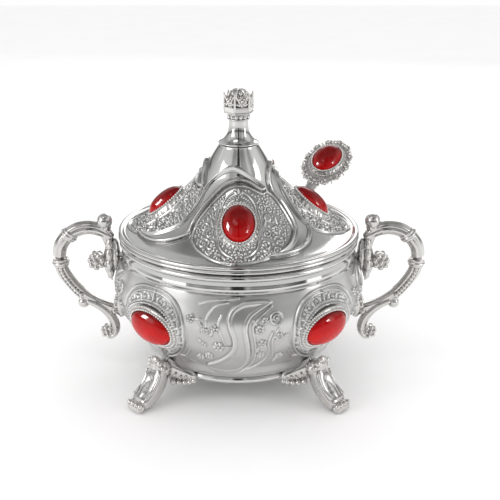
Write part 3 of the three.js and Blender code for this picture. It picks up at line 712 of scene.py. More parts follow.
def red_glass():
    """A deep red cabochon with painted light: painted shade where it faces up, a painted glow low in it where
    light would gather, faintly clouded.
    """
    nodes = Nodes("red_cabochon")
    place = nodes.place()
    facing = nodes.add("ShaderNodeTexCoord").outputs["Normal"]
    height = nodes.add("ShaderNodeSeparateXYZ", {"Vector": facing}).outputs["Z"]
    # Painted light: by the object-space normal, upward faces get painted shade and downward faces a painted
    # glow.
    low = nodes.step(height, 0.95, -0.5)
    painted_glow = nodes.ramp(low, [(0.08, (0.16, 0.0003, 0.0006)), (0.45, (0.40, 0.0008, 0.0015)),
                            (0.85, (0.60, 0.002, 0.002))])
    cloud = nodes.ramp(nodes.noise(place, 0.2, detail=2.0), [(0.35, 0.82), (0.65, 1.0)])
    nodes.link(nodes.blend(1.0, painted_glow, cloud, "MULTIPLY"), "Base Color")
    nodes.link(nodes.ramp(nodes.noise(place, 0.5), [(0.3, 0.03), (0.7, 0.06)]), "Roughness")
    nodes.link(nodes.bump(nodes.noise(place, 0.25), 0.01), "Normal")
    for socket, value in {"IOR": 1.5, "Specular IOR Level": 0.28}.items():
        nodes.shader.inputs[socket].default_value = value
    return nodes.material


BRIGHT = (0.75, 0.745, 0.735)
# The painted shade (partly tarnish) that fills the hollows of the polished silver.
PAINTED_HOLLOW_SHADE = (0.26, 0.26, 0.26)
MIRROR = {"glossy": 0.05, "worn": 0.11, "grain": 0.005, "grain_per_mm": 2.2}
POLISHED = silver("polished_silver", BRIGHT, PAINTED_HOLLOW_SHADE, **MIRROR)
BOWL_SILVER = silver("bowl_silver", BRIGHT, PAINTED_HOLLOW_SHADE, **MIRROR, satin=(BASE_HEIGHT + 4, RIM_HEIGHT - 9.5, 0.3))
LID_SILVER = silver("lid_silver", BRIGHT, PAINTED_HOLLOW_SHADE, glossy=0.05, worn=0.10, grain=0.005, grain_per_mm=2.2,
                    satin=(RIM_HEIGHT + 4.5, RIM_HEIGHT + 27, 0.16))
# The second colour of cast silver and of steel is likewise painted shade (partly tarnish) for their hollows.
CAST = silver("cast_silver", (0.77, 0.755, 0.735), (0.28, 0.27, 0.255),
              glossy=0.10, worn=0.20, grain=0.015, grain_per_mm=2.6)
STEEL = silver("screw_steel", (0.62, 0.62, 0.61), (0.30, 0.30, 0.30),
               glossy=0.25, worn=0.42, grain=0.02, grain_per_mm=4.0)
RED = red_glass()

# ---------------------------------------------------------------- the bowl and the lid


def show(piece, body, slot, *nodes):
    """Hangs a piece on its CAD body, in place of the CAD nodes that it stands for."""
    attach(piece, body)
    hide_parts(*nodes)
    return piece


ROUND = 960                     # points around the bowl and the lid
HUB = 2.0                       # radius at which the bowl's turned floor closes with one flat face
SINK = 1.1                      # how deep the bowl's relief is cut into its wall
MARGIN = 0.2                    # kept inside the CAD wall by the highest relief
RELIEF_LOW = 17                 # the wall is cut from this height
RELIEF_HIGH = 60                # up to this one
BELLY_BEND = 36.0               # radius of the wall's bend up and down at the stones
SEAT_RISE = 0.3                 # of the seats about the bowl's stones, from the wall's cut level
SEAT_EDGE = 1.62                # where a seat ends, as a share of the stone's half sizes
SEAT_SLOPE = 0.45               # the share over which it comes down to the wall
BOWL_STONE_SINK = 2.2           # how far the bowl's stones are let into its wall
CORNERS = {"front_right": 45, "front_left": -45, "back_right": 135, "back_left": -135}
BOWL_STONES = {"front_right": STONE_AZIMUTH, "front_left": -STONE_AZIMUTH,
               "back_right": 180 - STONE_AZIMUTH, "back_left": STONE_AZIMUTH - 180}


def bowl_shell():
    heights = bowl_outside[:, 1]
    relief, even_azimuths = whole_turn(bowl_pattern, heights, ROUND, seed=3)
    azimuths = towards_stones(even_azimuths)
    window = ease((heights - RELIEF_LOW) / 4) * ease((RELIEF_HIGH - heights) / 2)
    cut = (np.minimum(relief, SINK) - SINK - MARGIN) * window[:, None]
    outside = turned(bowl_outside, azimuths, cut + stone_seats(azimuths, heights))
    underside = turned(np.array([(HUB, BASE_HEIGHT), (20, BASE_HEIGHT)]), azimuths)
    inside = turned(np.array(bowl_inside()), azimuths)
    shape = Shape()
    shape.grid(np.concatenate([underside, outside, inside]))
    return shape.piece("bowl_shell", BOWL_SILVER)


def towards_stones(azimuths):
    """The azimuths of four equal quarters, shifted so that their corners come to the bowl's stones."""
    corners = np.arange(-45, 316, 45)
    shift = (45 - STONE_AZIMUTH) * np.array([1, 0, -1, 0, 1, 0, -1, 0, 1])
    return np.radians(np.interp(np.degrees(azimuths), corners, corners + shift))


def stone_seats(azimuths, heights):
    """How far the wall swells to a flat seat about each bowl stone."""
    bearing = np.degrees(azimuths) % 180
    aside = np.minimum(np.abs(bearing - STONE_AZIMUTH), np.abs(bearing - (180 - STONE_AZIMUTH)))
    x, y = bowl_plane(*np.meshgrid(aside, heights))
    half, long_half = BOWL_STONE["width"] / 2, BOWL_STONE["length"] / 2
    away = np.hypot(x / long_half, y / half)
    wall_falls = x**2 / (2 * BELLY_SPREAD) + y**2 / (2 * BELLY_BEND)
    return (SEAT_RISE + wall_falls) * ease((SEAT_EDGE - away) / SEAT_SLOPE)


def bowl_inside():
    """[radius, height] down the inside of the bowl, from its rim to the middle of its floor."""
    wall = beside(evenly(bowl_side, 2.2), WALL)[::-1]
    lip = rounded([(51.9, 66), (51.7, 65.9), (51.4, 65.2), tuple(wall[0])], 1)
    floor = rounded([tuple(wall[-1]), (39, 13.4), (36, 12.1), (30, 12.1)], 2)
    return [*lip[1:-1], *wall[:-1], *floor, (15, 12.1), (HUB, 12.1)]


def lid_shell():
    proud = np.zeros((len(lid_outside), ROUND))
    first = len(lid_edge) - 1
    rows = slice(first, first + len(tent_down) - 1)
    relief, azimuths = whole_turn(lid_pattern, lid_outside[rows, 0], ROUND, seed=5)
    proud[rows] = relief
    inside = beside(evenly(lid_tent, 2.2), WALL)[::-1]
    seat = [(5, LID_TOP), (1.9, LID_TOP), (1.9, LID_TOP - 3), (7, LID_TOP - 3)]
    flange = [(48.6, 68.4), (48.4, 66.3), (48.6, 63.7), (48.9, 63.5), (50.8, 63.5), (51, 63.7), (51, 66.3)]
    rest = np.array([*seat, *inside[2:-1], *flange])
    shape = Shape()
    points = np.concatenate([turned(lid_outside[:-1], azimuths, proud[:-1]), turned(rest, azimuths)])
    shape.add(points, [grid_faces(*points.shape[:2], wrap_rows=True)])
    return shape.piece("lid_shell", LID_SILVER)


def cut_away(piece, cutter):
    """Takes a closed cutter's volume out of a piece for good, and removes the cutter."""
    change = piece.modifiers.new("cut", "BOOLEAN")
    change.object, change.operation, change.solver = cutter, "DIFFERENCE", "MANIFOLD"
    keep_shape(piece)
    bpy.data.objects.remove(cutter)


def keep_shape(piece):
    """Applies a piece's modifiers."""
    bpy.context.view_layer.update()
    seen = piece.evaluated_get(bpy.context.evaluated_depsgraph_get())
    mesh = bpy.data.meshes.new_from_object(seen)
    piece.modifiers.clear()
    old, piece.data = piece.data, mesh
    bpy.data.meshes.remove(old)


show(bowl_shell(), "bowl", "polished_silver", "bowl")
lid = show(lid_shell(), "lid", "polished_silver", "lid")

# ---------------------------------------------------------------- frames on the walls


def wall_frame(outline, height, azimuth):
    """A frame on a turned wall: its origin on the wall, +Z out of it, +Y up along it and +X around it."""
    step = 1.5
    radius = wall_radius(outline, height)
    rise = np.array([wall_radius(outline, height + step) - wall_radius(outline, height - step), 2 * step])
    rise /= np.linalg.norm(rise)
    turn = math.radians(azimuth)
    out = np.array([math.sin(turn), -math.cos(turn), 0])
    around = np.array([math.cos(turn), math.sin(turn), 0])
    up = out * rise[0] + np.array([0, 0, rise[1]])
    matrix = np.eye(4)
    matrix[:3, :3] = np.stack([around, up, np.cross(around, up)], axis=1)
    matrix[:3, 3] = out * radius + np.array([0, 0, height])
    return matrix


def height_on_wall(outline, matrix, x, y):
    """How far out of a wall frame's XY plane the wall lies at each local x, y."""
    low, high = np.full(np.shape(x), -14.0), np.full(np.shape(x), 14.0)
    for _ in range(24):
        middle = (low + high) / 2
        place = carried(np.stack([x, y, middle], axis=-1), matrix)
        deep = np.hypot(place[..., 0], place[..., 1]) < wall_radius(outline, place[..., 2])
        low, high = np.where(deep, middle, low), np.where(deep, high, middle)
    return low


def turned_by(azimuth):
    """The matrix that turns a piece built on the +X side to an azimuth from the front."""
    return np.array(Matrix.Rotation(math.radians(azimuth - 90), 4, "Z"))


# ---------------------------------------------------------------- solid building blocks


def ball(shape, place, radius, stretch=(1, 1, 1), sides=12):
    """A ball, stretched along the axes."""
    rows = sides // 2
    lift = np.linspace(-QUARTER * 0.93, QUARTER * 0.93, rows)[:, None]
    turn = angles(sides)
    unit = np.stack([np.cos(lift) * np.cos(turn), np.cos(lift) * np.sin(turn),
                     np.sin(lift) * np.ones(sides)], axis=-1)
    shape.grid(unit * radius * np.array(stretch) + np.array(place))


def tube(shape, path, half, side_half=None, side=(0, 1, 0), sides=24, form=None, blunt=0.5):
    """A bar along a path that stays at right angles to a side direction, with rounded ends.

    half and side_half are its half sizes across the path, in the path's plane and along side. Either may be
    a list along the path. form(along, turn) scales a section; turn 0 is the outside of the bend.
    """
    path = np.asarray(path, float)
    along = reach_along(path)
    share = along / along[-1]

    def spread(size):
        size = np.atleast_1d(np.asarray(size, float))
        return np.interp(share, np.linspace(0, 1, len(size)), size)

    across = spread(half)
    sideways = spread(half if side_half is None else side_half)
    cap = np.maximum(across.mean() * blunt, 1e-6)
    nearness = np.clip(np.minimum(along, along[-1] - along) / cap, 0, 1)
    shrink = np.sqrt(np.clip(1 - (1 - nearness) ** 2, 0.02, 1))
    side = np.asarray(side, float)
    outward = unit(np.cross(side, unit(np.gradient(path, axis=0))))
    turn = angles(sides)
    scale = np.ones((len(path), sides)) if form is None else form(share[:, None], turn[None, :])
    scale = scale * shrink[:, None]
    points = (path[:, None] + outward[:, None] * (scale * across[:, None] * np.cos(turn))[..., None]
              + side * (scale * sideways[:, None] * np.sin(turn))[..., None])
    shape.grid(points[:, ::-1])


def arc_path(points, spacing=0.6):
    """A smooth evenly spaced path in the plane y = 0 through x, z points."""
    flat = evenly(catmull(points, 8), spacing)
    return np.stack([flat[:, 0], np.zeros(len(flat)), flat[:, 1]], axis=1)


def flower(shape, place, radius, axis="y", petals=7, thick=0.55):
    """A round scroll end with petals on both of its faces."""
    stretch = {"y": (1, thick, 1), "x": (thick, 1, 1), "z": (1, 1, thick)}[axis]
    ball(shape, place, radius * 0.86, stretch, sides=20)
    first, second = [k for k in range(3) if "xyz"[k] != axis]
    normal = "xyz".index(axis)
    for k in range(petals):
        turn = TURN * (k + 0.25) / petals
        for face in (-1, 1):
            spot = np.array(place, float)
            spot[first] += radius * 0.62 * math.cos(turn)
            spot[second] += radius * 0.62 * math.sin(turn)
            spot[normal] += face * radius * thick * 0.52
            ball(shape, spot, radius * 0.34, sides=10)
    for face in (-1, 1):
        spot = np.array(place, float)
        spot[normal] += face * radius * thick * 0.9
        ball(shape, spot, radius * 0.27, sides=10)


def fused(shape, name, material, voxel, soften=0):
    """Melts overlapping closed meshes into one skin, as in a casting."""
    piece = shape.piece(name, material)
    melt = piece.modifiers.new("melt", "REMESH")
    melt.mode, melt.voxel_size, melt.use_smooth_shade = "VOXEL", voxel * MM, True
    if soften:
        calm = piece.modifiers.new("soften", "SMOOTH")
        calm.iterations, calm.factor = soften, 0.5
    keep_shape(piece)
    return piece


def points_of(piece):
    """A piece's points as axis-relative millimetres."""
    points = np.empty(len(piece.data.vertices) * 3)
    piece.data.vertices.foreach_get("co", points)
    return (points.reshape(-1, 3) - np.array([0, AXIS_Y, 0])) / MM


def set_points(piece, points):
    piece.data.vertices.foreach_set("co", (points * MM + np.array([0, AXIS_Y, 0])).ravel())
    piece.data.update()


def copy_of(piece, name, matrix):
    """A second piece with the first one's mesh, carried along by a matrix."""
    twin = piece.copy()
    twin.data = piece.data.copy()
    twin.name = twin.data.name = name
    bpy.context.scene.collection.objects.link(twin)
    set_points(twin, carried(points_of(piece), matrix))
    return twin


def keep_outside_bowl(piece, bite=0.35):
    """Presses what reaches into the bowl's wall flat against the wall, a little way in."""
    points = points_of(piece)
    radius = np.hypot(points[:, 0], points[:, 1])
    low, high = bowl_outside[0, 1], bowl_outside[-1, 1]
    least = wall_radius(bowl_outside, np.clip(points[:, 2], low, high)) - bite
    inner = (radius < least) & (points[:, 2] > low) & (points[:, 2] < high)
    points[inner, :2] *= (least / np.maximum(radius, 1e-6))[inner, None]
    under = (points[:, 2] <= low) & (points[:, 2] > low - 1.5) & (radius < bowl_outside[0, 0])
    points[under, 2] = np.minimum(points[under, 2], low + 0.05)
    set_points(piece, points)


# ---------------------------------------------------------------- cabochons and their settings


def cabochon(stone, matrix):
    """A glossy oval dome with a flat back and a rounded girdle."""
    half, long_half = stone["width"] / 2, stone["length"] / 2
    base, girdle = 1.3, 2.0
    rise = np.linspace(0, QUARTER * 0.985, 22)
    dome = [(math.cos(t) ** 0.92, girdle + (base + stone["rise"] - girdle) * math.sin(t)) for t in rise]
    rows = [(0.05, base), (0.6, base), (0.95, base), (0.985, base + 0.25), *dome]
    turn = angles(72)
    shape = Shape()
    shape.grid(np.array([[(half * share * math.cos(t), long_half * share * math.sin(t), z) for t in turn]
                         for share, z in rows]))
    return shape.moved(matrix)


def setting(stone, matrix, wall_at, reach, root, sides=224):
    """A beaded lip that grips the stone over a fluted skirt, which slopes down to a row of fine beads.

    wall_at(x, y) is the height of the ground under it, reach how far the skirt runs out from the stone's
    edge, and root how far it is let into the ground.
    """
    half, long_half = stone["width"] / 2, stone["length"] / 2
    turn = angles(sides)
    flute = np.cos(turn * round(sides / 8))

    def ring(out, share=1.0, wave=0.0):
        away = out + wave * flute
        return np.stack([(half + away) * share * np.cos(turn),
                         (long_half + away) * share * np.sin(turn)], axis=1)

    def over_wall(out, share, level):
        xy = ring(out, share)
        return xy, wall_at(*xy.T) + level

    rows = [(ring(0.3, share), 1.0) for share in (0.04, 0.6, 1)]
    for out, level in ((0.3, 2.0), (0.5, 2.2), (0.85, 2.15), (1.15, 1.75)):
        rows.append((ring(out), level))
    for share, level, wave in ((0.25, 0.9, 0.05), (0.55, 0.6, 0.1), (0.85, 0.4, 0.12)):
        out = 1.15 + (reach - 1.15) * share
        xy = ring(out, 1.0, wave)
        rows.append((xy, (1 - share) * 1.2 + share * wall_at(*xy.T) + level * share + 0.08 * flute))
    rows.append(over_wall(reach, 1, 0.2))
    for share in (1, 0.7, 0.35, 0.04):
        rows.append(over_wall(reach + 0.05, share, -root))
    points = np.stack([np.column_stack([xy, np.broadcast_to(z, len(xy))]) for xy, z in rows])
    shape = Shape()
    shape.grid(points)
    for x, y in oval(half + 0.62, long_half + 0.62, 1.16):
        ball(shape, (x, y, 2.3), 0.6, (1, 1, 1.1), sides=12)
    for x, y in oval(half + reach, long_half + reach, 1.02):
        ball(shape, (x, y, float(wall_at(x, y)) + 0.3), 0.46, sides=10)
    return shape.moved(matrix)


def flat_ground(level):
    """The same height everywhere, for settings on a flat seat."""
    def wall_at(x, y):
        return np.full(np.shape(x), level)
    return wall_at


def gem(name, body, stone, matrix, wall_at, reach, root):
    """One cabochon in its setting; name holds a place for the kind of piece, such as lid_{}_front."""
    bezel = setting(stone, matrix, wall_at, reach, root).piece(name.format("bezel"), CAST)
    show(bezel, body, "cast_silver", name.format("setting"))
    glass = cabochon(stone, matrix).piece(name.format("gem"), RED)
    show(glass, body, "red_cabochon", name.format("stone"))


def gems():
    """All eight wall cabochons with their settings."""
    lid_height = float(np.interp(-LID_STONE_RADIUS, -lid_tent[:, 0], lid_tent[:, 1]))
    for side, azimuth in {"front": 0, "right": 90, "back": 180, "left": -90}.items():
        matrix = wall_frame(lid_tent, lid_height, azimuth)

        def wall_at(x, y, matrix=matrix):
            return height_on_wall(lid_tent, matrix, x, y)

        gem("lid_{}_" + side, "lid", LID_STONE, matrix, wall_at, reach=2.4, root=0.1)
    seat = flat_ground(BOWL_STONE_SINK - SINK + SEAT_RISE)
    lying = Matrix.Translation((0, 0, -BOWL_STONE_SINK)) @ Matrix.Rotation(QUARTER, 4, "Z")
    for corner, azimuth in BOWL_STONES.items():
        matrix = wall_frame(bowl_outside, BOWL_STONE_HEIGHT, azimuth) @ np.array(lying)
        gem("bowl_{}_" + corner, "bowl", BOWL_STONE, matrix, seat, reach=1.9, root=0.6)


# ---------------------------------------------------------------- a scroll handle, on the +X side


def handle_shape():
    shape = Shape()
    loop = arc_path([(57.4, 63.1), (60.8, 67), (66.3, 68.9), (72, 68.3), (77, 65.3), (80.7, 60),
                     (81.6, 54.3)])

    def fluted(along, turn):
        return 1 - 0.1 * (0.5 + 0.5 * np.cos(7 * turn)) * ease((along - 0.06) * 12)

    tube(shape, loop, [2.4, 3.1, 3.3, 3.3, 3.2], sides=56, form=fluted)
    lower = arc_path([(81.3, 54.3), (80.4, 48.4), (77, 42.6), (72.1, 37.1), (65.9, 33), (59.6, 30.2),
                      (54, 28.5)])

    def flat_sided(along, turn):
        return 1 - 0.12 * np.abs(np.sin(turn)) ** 6

    tube(shape, lower, [3.0, 3.0, 2.8, 2.4, 2.1, 2.2, 2.6], sides=40, form=flat_sided)
    rope = lower[2: int(len(lower) * 0.5)]
    for face in (-1, 1):
        for edge in (-1.55, 1.55):
            rail = rope + np.array([0, face * 2.35, 0]) + sideways(rope) * edge
            tube(shape, rail, 0.48, sides=8)
        for x, _, z in evenly(rope, 1.75):
            ball(shape, (x, face * 2.75, z), 0.95, sides=12)
    for place, lean in (((76.4, 65.4), 0.6), ((81.0, 52.4), -0.1)):
        collar(shape, place, lean)
    for x, z in ((64.6, 68.2), (68.4, 68.4), (72.4, 67.6)):
        for face in (-1, 1):
            ball(shape, (x, face * 2.5, z), 0.95, (1.3, 0.8, 1), sides=10)
    handle_knobs(shape)
    handle_leaf(shape)
    handle_tail(shape)
    return shape


def sideways(path):
    """Unit vectors across a path in the plane y = 0."""
    forward = unit(np.gradient(path, axis=0))
    return np.stack([forward[:, 2], np.zeros(len(path)), -forward[:, 0]], axis=1)


def collar(shape, place, lean):
    """Two rings about the loop with a pointed lip on the outside of the bend."""
    x, z = place
    along = np.array([math.sin(lean), 0, -math.cos(lean)])
    across = np.array([math.cos(lean), 0, math.sin(lean)])
    centre = np.array([x, 0, z])
    for offset, radius in ((-1.1, 3.35), (0.2, 3.65), (1.3, 3.25)):
        turn = angles(40)
        ring = centre + along * offset + radius * 0.93 * (
            across * np.cos(turn)[:, None] + np.array([0, 1, 0]) * np.sin(turn)[:, None])
        ring_tube(shape, ring, along, 0.62)
    tip = 0.85
    reach = min(3.6, HANDLE_REACH - tip - x)
    ball(shape, centre + across * reach, tip, (1, 1.6, 1), sides=10)


def ring_tube(shape, ring, axis, radius, sides=10):
    """A closed round wire along a ring of points about an axis."""
    outward = unit(ring - ring.mean(axis=0))
    turn = angles(sides)
    points = ring[:, None] + radius * (outward[:, None] * np.cos(turn)[:, None]
                                       - np.asarray(axis) * np.sin(turn)[:, None])
    shape.add(points, [grid_faces(*points.shape[:2], wrap_rows=True)])


def handle_knobs(shape):
    """The knob on top, the petalled scroll end inside the loop and the ball under its lower end."""
    ball(shape, (60.3, 0, 72.0), 3.55, sides=28)
    ball(shape, (60.0, 0, 68.8), 2.5, (1, 1, 0.6), sides=16)
    for k in range(6):
        turn = TURN * k / 6
        ball(shape, (60.3 + 2.2 * math.cos(turn), 2.2 * math.sin(turn), 69.4), 0.8, sides=8)
    curl = arc_path([(61, 66), (58.9, 61), (58.6, 56), (60.6, 52.2), (64, 51.4)])
    tube(shape, curl, [1.6, 2.0, 1.9, 1.6], [2.2, 2.8, 2.6, 2.0])
    flower(shape, (64.6, 0, 53.2), 4.4, petals=7, thick=0.9)
    ball(shape, (71.6, 0, 32.6), 2.7, sides=22)
    ball(shape, (71.9, 0, 35), 1.9, (1.2, 1.2, 0.6), sides=14)


def handle_leaf(shape):
    """Acanthus lobes that run down the bowl from the loop's upper end, and the pad behind them."""
    ball(shape, (56.0, 0, 56), 3.6, (0.62, 1, 2.2), sides=20)
    for side in (-1, 1):
        for x, z, spread, size in ((58.2, 61.4, 2.4, 2.2), (58.4, 57.0, 3.5, 2.3), (58.5, 52.4, 3.6, 2.2),
                                   (58.1, 48.0, 2.6, 2.0)):
            ball(shape, (x, side * spread, z), size, (0.75, 0.85, 1.35), sides=14)
            ball(shape, (x + 0.9, side * (spread + 0.6), z - 1.5), 0.75, sides=8)
    rib = arc_path([(59.4, 60.5), (60.4, 55), (60.4, 50), (59, 45.8), (57.8, 43.4)])
    tube(shape, rib, [1.1, 1.2, 1.0, 0.5], [1.0, 1.1, 0.9, 0.5])
    ball(shape, (54.2, 0, 31), 3.9, (0.7, 1, 1.5), sides=20)
    for side in (-1, 1):
        for x, z in ((56.4, 34.4), (56.6, 31.6), (57.4, 28.8)):
            ball(shape, (x, side * 2.0, z), 1.25, (1, 0.9, 1.2), sides=10)


def handle_tail(shape):
    """The lower scroll: a flat band with rolled rims that ends in a petalled boss."""
    path = arc_path([(70, 33.8), (65, 31.3), (60.5, 27.5), (57.7, 22.5), (57.5, 18.6), (59.2, 16.2),
                     (61.4, 16)])
    tube(shape, path, [1.7, 2.0, 2.2, 2.1, 1.8], [2.3, 2.7, 2.8, 2.7, 2.4])
    for face in (-1, 1):
        rim = path + np.array([0, face * 2.5, 0]) + sideways(path) * 0.3
        tube(shape, rim, 0.75, 0.55, sides=10)
    for x, _, z in evenly(path[2:16], 1.8):
        ball(shape, (x + 0.6, 0, z - 1.2), 0.8, sides=8)
    flower(shape, (61.3, 0, 18.1), 3.3, petals=6, thick=0.85)


def handles():
    right = fused(handle_shape(), "handle_scroll_right", CAST, voxel=0.21, soften=1)
    keep_outside_bowl(right)
    left = copy_of(right, "handle_scroll_left", np.diag([-1.0, -1.0, 1.0, 1.0]))
    show(right, "bowl", "cast_silver", "handle_right")
    show(left, "bowl", "cast_silver", "handle_left")


# ---------------------------------------------------------------- a cast foot, on the +X side


def foot_shape():
    shape = Shape()
    leg = arc_path([(49.6, 20.4), (49.2, 16), (50.8, 11.2), (54.2, 6.9), (58.2, 4.2), (61.6, 3.0)], 0.5)

    def boxy(along, turn):
        """A square section with round corners, hollowed on the leg's outer face."""
        square = (np.abs(np.cos(turn)) ** 3.6 + np.abs(np.sin(turn)) ** 3.6) ** (-1 / 3.6)
        facing = np.abs(turn - math.pi)
        return square * (1 - 0.13 * bell(facing, 0.6) * ease((along - 0.3) * 7) * ease((0.95 - along) * 9))

    tube(shape, leg, [2.4, 3.2, 3.7, 3.6, 3.1, 2.5], [3.2, 4.1, 4.6, 4.8, 4.7, 4.4], sides=64, form=boxy)
    outer = -sideways(leg)
    for face in (-1, 1):
        rim = leg[10:-4] + np.array([0, face * 4.0, 0]) + outer[10:-4] * 2.9
        tube(shape, rim, 0.7, 0.7, sides=10)
    inset = leg[20:44]
    pad = inset + outer[20:44] * 2.6
    tube(shape, pad, [0.5, 1.1, 1.3, 1.1, 0.5], [0.8, 2.0, 2.5, 2.0, 0.8], sides=28, blunt=1.5)
    roll = np.stack([np.full(9, 62.2), np.linspace(-4.4, 4.4, 9), np.full(9, 2.5)], axis=1)
    tube(shape, roll, 2.4, side=(0, 0, 1), sides=24)
    for y in (-3.5, -1.2, 1.2, 3.5):
        ball(shape, (63.3, y, 3.9), 1.1, sides=12)
    foot_bracket(shape)
    return shape


def foot_bracket(shape):
    """Leafy wings that hug the bowl's base on both sides of the leg, and small balls at the leg's head."""
    def on_base(turn, radius, z):
        return np.array([radius * math.cos(turn), radius * math.sin(turn), z])

    ball(shape, (47.4, 0, 15.4), 4.6, (0.9, 1.0, 1.0), sides=20)
    ball(shape, (51.0, 0, 21.0), 1.7, (0.9, 1.5, 1), sides=16)
    for side in (-1, 1):
        ball(shape, (51.2, side * 3.0, 19.8), 1.35, sides=14)
        ball(shape, (50.6, side * 4.2, 17.6), 1.1, sides=12)
        turns = np.linspace(0.0, 0.31, 24)
        fall = turns / turns[-1]
        wing = [on_base(side * t, 43.9 - 4.1 * f, 14.8 - 2.8 * f) for t, f in zip(turns, fall)]
        tube(shape, wing, [3.4, 2.7, 2.1, 1.7, 1.4], [6.2, 5.2, 4.0, 2.8, 1.8],
             side=(0, 0, 1), sides=32, blunt=0.8)
        for t, r, z, size in ((0.10, 45.4, 9.7, 1.5), (0.155, 44.2, 9.5, 1.4), (0.205, 43.0, 9.6, 1.3),
                              (0.25, 41.9, 9.9, 1.2), (0.29, 41.0, 10.4, 1.1)):
            ball(shape, on_base(side * t, r, z), size, sides=12)
        for t, r, z, size in ((0.135, 46.0, 13.6, 0.8), (0.18, 44.6, 12.4, 0.7), (0.225, 43.3, 12.6, 0.65),
                              (0.265, 42.2, 11.8, 0.6)):
            ball(shape, on_base(side * t, r, z), size, sides=10)


def feet():
    first = fused(foot_shape(), "foot_cast_front_right", CAST, voxel=0.21, soften=1)
    keep_outside_bowl(first)
    points = points_of(first)
    points[:, 2] = np.maximum(points[:, 2], 0)
    set_points(first, points)
    base = points.copy()
    for corner, azimuth in CORNERS.items():
        piece = first if corner == "front_right" else copy_of(first, f"foot_cast_{corner}", np.eye(4))
        set_points(piece, base @ turned_by(azimuth)[:3, :3].T)
        show(piece, "bowl", "cast_silver", f"foot_{corner}")


# ---------------------------------------------------------------- the finial


def neck():
    """The polished trumpet under the crown: a sharp-edged disc, a narrow waist and a beaded ring on top."""
    foot = LID_TOP + GAP
    disc = [(1.9, foot), (8.4, foot), (8.85, foot + 0.1), (8.9, foot + 0.35), (8.6, foot + 0.55)]
    flare = catmull([(8.6, foot + 0.55), (6.9, foot + 1.6), (5.2, foot + 3.9), (4.45, foot + 6.8),
                     (4.3, NECK_TOP - 2.6)], 8)
    top = [(4.6, NECK_TOP - 2.3), (4.6, NECK_TOP - 0.4), (4.9, NECK_TOP - 0.2), (4.7, NECK_TOP),
           (1.9, NECK_TOP)]
    outline = np.array([*disc, *flare[1:], *top])
    azimuths = angles(96)
    points = turned(outline, azimuths)
    shape = Shape()
    shape.add(points, [grid_faces(*points.shape[:2], wrap_rows=True)])
    beads = 14
    for k in range(beads):
        turn = TURN * k / beads
        spot = (4.5 * math.cos(turn), 4.5 * math.sin(turn), NECK_TOP - 1.3)
        ball(shape, spot, 0.9, (0.75, 0.75, 1), sides=12)
    ring = [(4.85 * math.sin(t), -4.85 * math.cos(t), NECK_TOP - 2.3) for t in azimuths]
    ring_tube(shape, np.array(ring), (0, 0, 1), 0.22, sides=8)
    show(shape.piece("neck_trumpet", POLISHED), "lid", "polished_silver", "finial_neck")


CROWN_SIDES = 6
CROWN_RADIUS = 6.7              # to the outside of its corners
CROWN_TURN = math.radians(-15)  # of a corner from the front


def crown():
    """A six-sided pierced crown with a post at every corner, over a plain band, and arches over a bud."""
    base = NECK_TOP + GAP
    posts = CROWN_TOP - 2.1
    shape = Shape()
    corners = [CROWN_TURN + TURN * k / CROWN_SIDES for k in range(CROWN_SIDES)]

    def at(turn, radius, z):
        return np.array([radius * math.sin(turn), -radius * math.cos(turn), z])

    def wall(low, high, radius):
        rows = [(0.3, low), (radius - 0.25, low), (radius, low + 0.25), (radius, high - 0.25),
                (radius - 0.25, high), (0.3, high)]
        shape.grid(np.array([[at(turn, r, z) for turn in corners[::-1]] for r, z in rows]))

    wall(base, base + 0.7, CROWN_RADIUS + 0.15)
    wall(base + 0.4, base + 2.9, CROWN_RADIUS - 0.1)
    wall(base + 2.5, base + 3.1, CROWN_RADIUS + 0.1)
    for here, there in zip(corners, corners[1:] + corners[:1]):
        middle = here + TURN / CROWN_SIDES / 2
        foot, tip = at(here, CROWN_RADIUS - 0.35, base + 1), at(here, CROWN_RADIUS - 0.25, posts + 0.2)
        post = evenly(np.array([foot, tip]), 0.4)
        tube(shape, post, [0.5, 0.5, 0.42, 0.3], side=tuple(at(middle, 1, 0)), sides=12)
        crown_face(shape, foot, at(there, CROWN_RADIUS - 0.35, base + 1), base, posts)
        ball(shape, tip, 0.5, sides=10)
        arch = catmull([at(here, 5.0, posts - 3.2), at(here, 4.3, posts - 0.6), at(here, 2.6, posts + 1.2),
                        at(here, 0.2, CROWN_TOP - 0.5)], 8)
        across = at(here + QUARTER, 1, 0)
        tube(shape, evenly(arch, 0.4), [0.6, 0.55, 0.5], side=tuple(across), sides=12)
        ball(shape, at(middle, 3.0, posts + 0.1), 1.1, sides=12)
        ball(shape, at(middle, 4.2, posts - 1.6), 1.0, sides=12)
    ball(shape, (0, 0, posts - 2.2), 3.6, (1, 1, 1.0), sides=20)
    ball(shape, (0, 0, CROWN_TOP - 0.8), 0.75, sides=12)
    piece = fused(shape, "crown_cast", CAST, voxel=0.13)
    show(piece, "lid", "cast_silver", "finial_crown")


def crown_face(shape, left, right, base, posts):
    """The pierced side between two posts: two slanted bars, a low rail and a few buds."""
    side = right - left
    out = np.cross(side, (0, 0, 1))
    out /= np.linalg.norm(out)

    def on_face(share, z, proud=0.0):
        spot = left + side * share + out * proud
        return np.array([spot[0], spot[1], z])

    bars = [[(0.0, posts - 0.2), (0.28, posts - 2.8), (0.5, base + 3.2)],
            [(1.0, posts - 0.2), (0.72, posts - 2.8), (0.5, base + 3.2)],
            [(0.0, base + 4.2), (0.5, base + 4.9), (1.0, base + 4.2)]]
    for bar in bars:
        path = catmull([on_face(share, z) for share, z in bar], 8)
        tube(shape, evenly(path, 0.35), 0.42, side=tuple(out), sides=10)
    for share, z, size in ((0.5, base + 5.7, 0.75), (0.27, base + 4.0, 0.6), (0.73, base + 4.0, 0.6),
                           (0.36, base + 6.6, 0.5), (0.64, base + 6.6, 0.5)):
        ball(shape, on_face(share, z, 0.15), size, sides=10)


# ---------------------------------------------------------------- the spoon


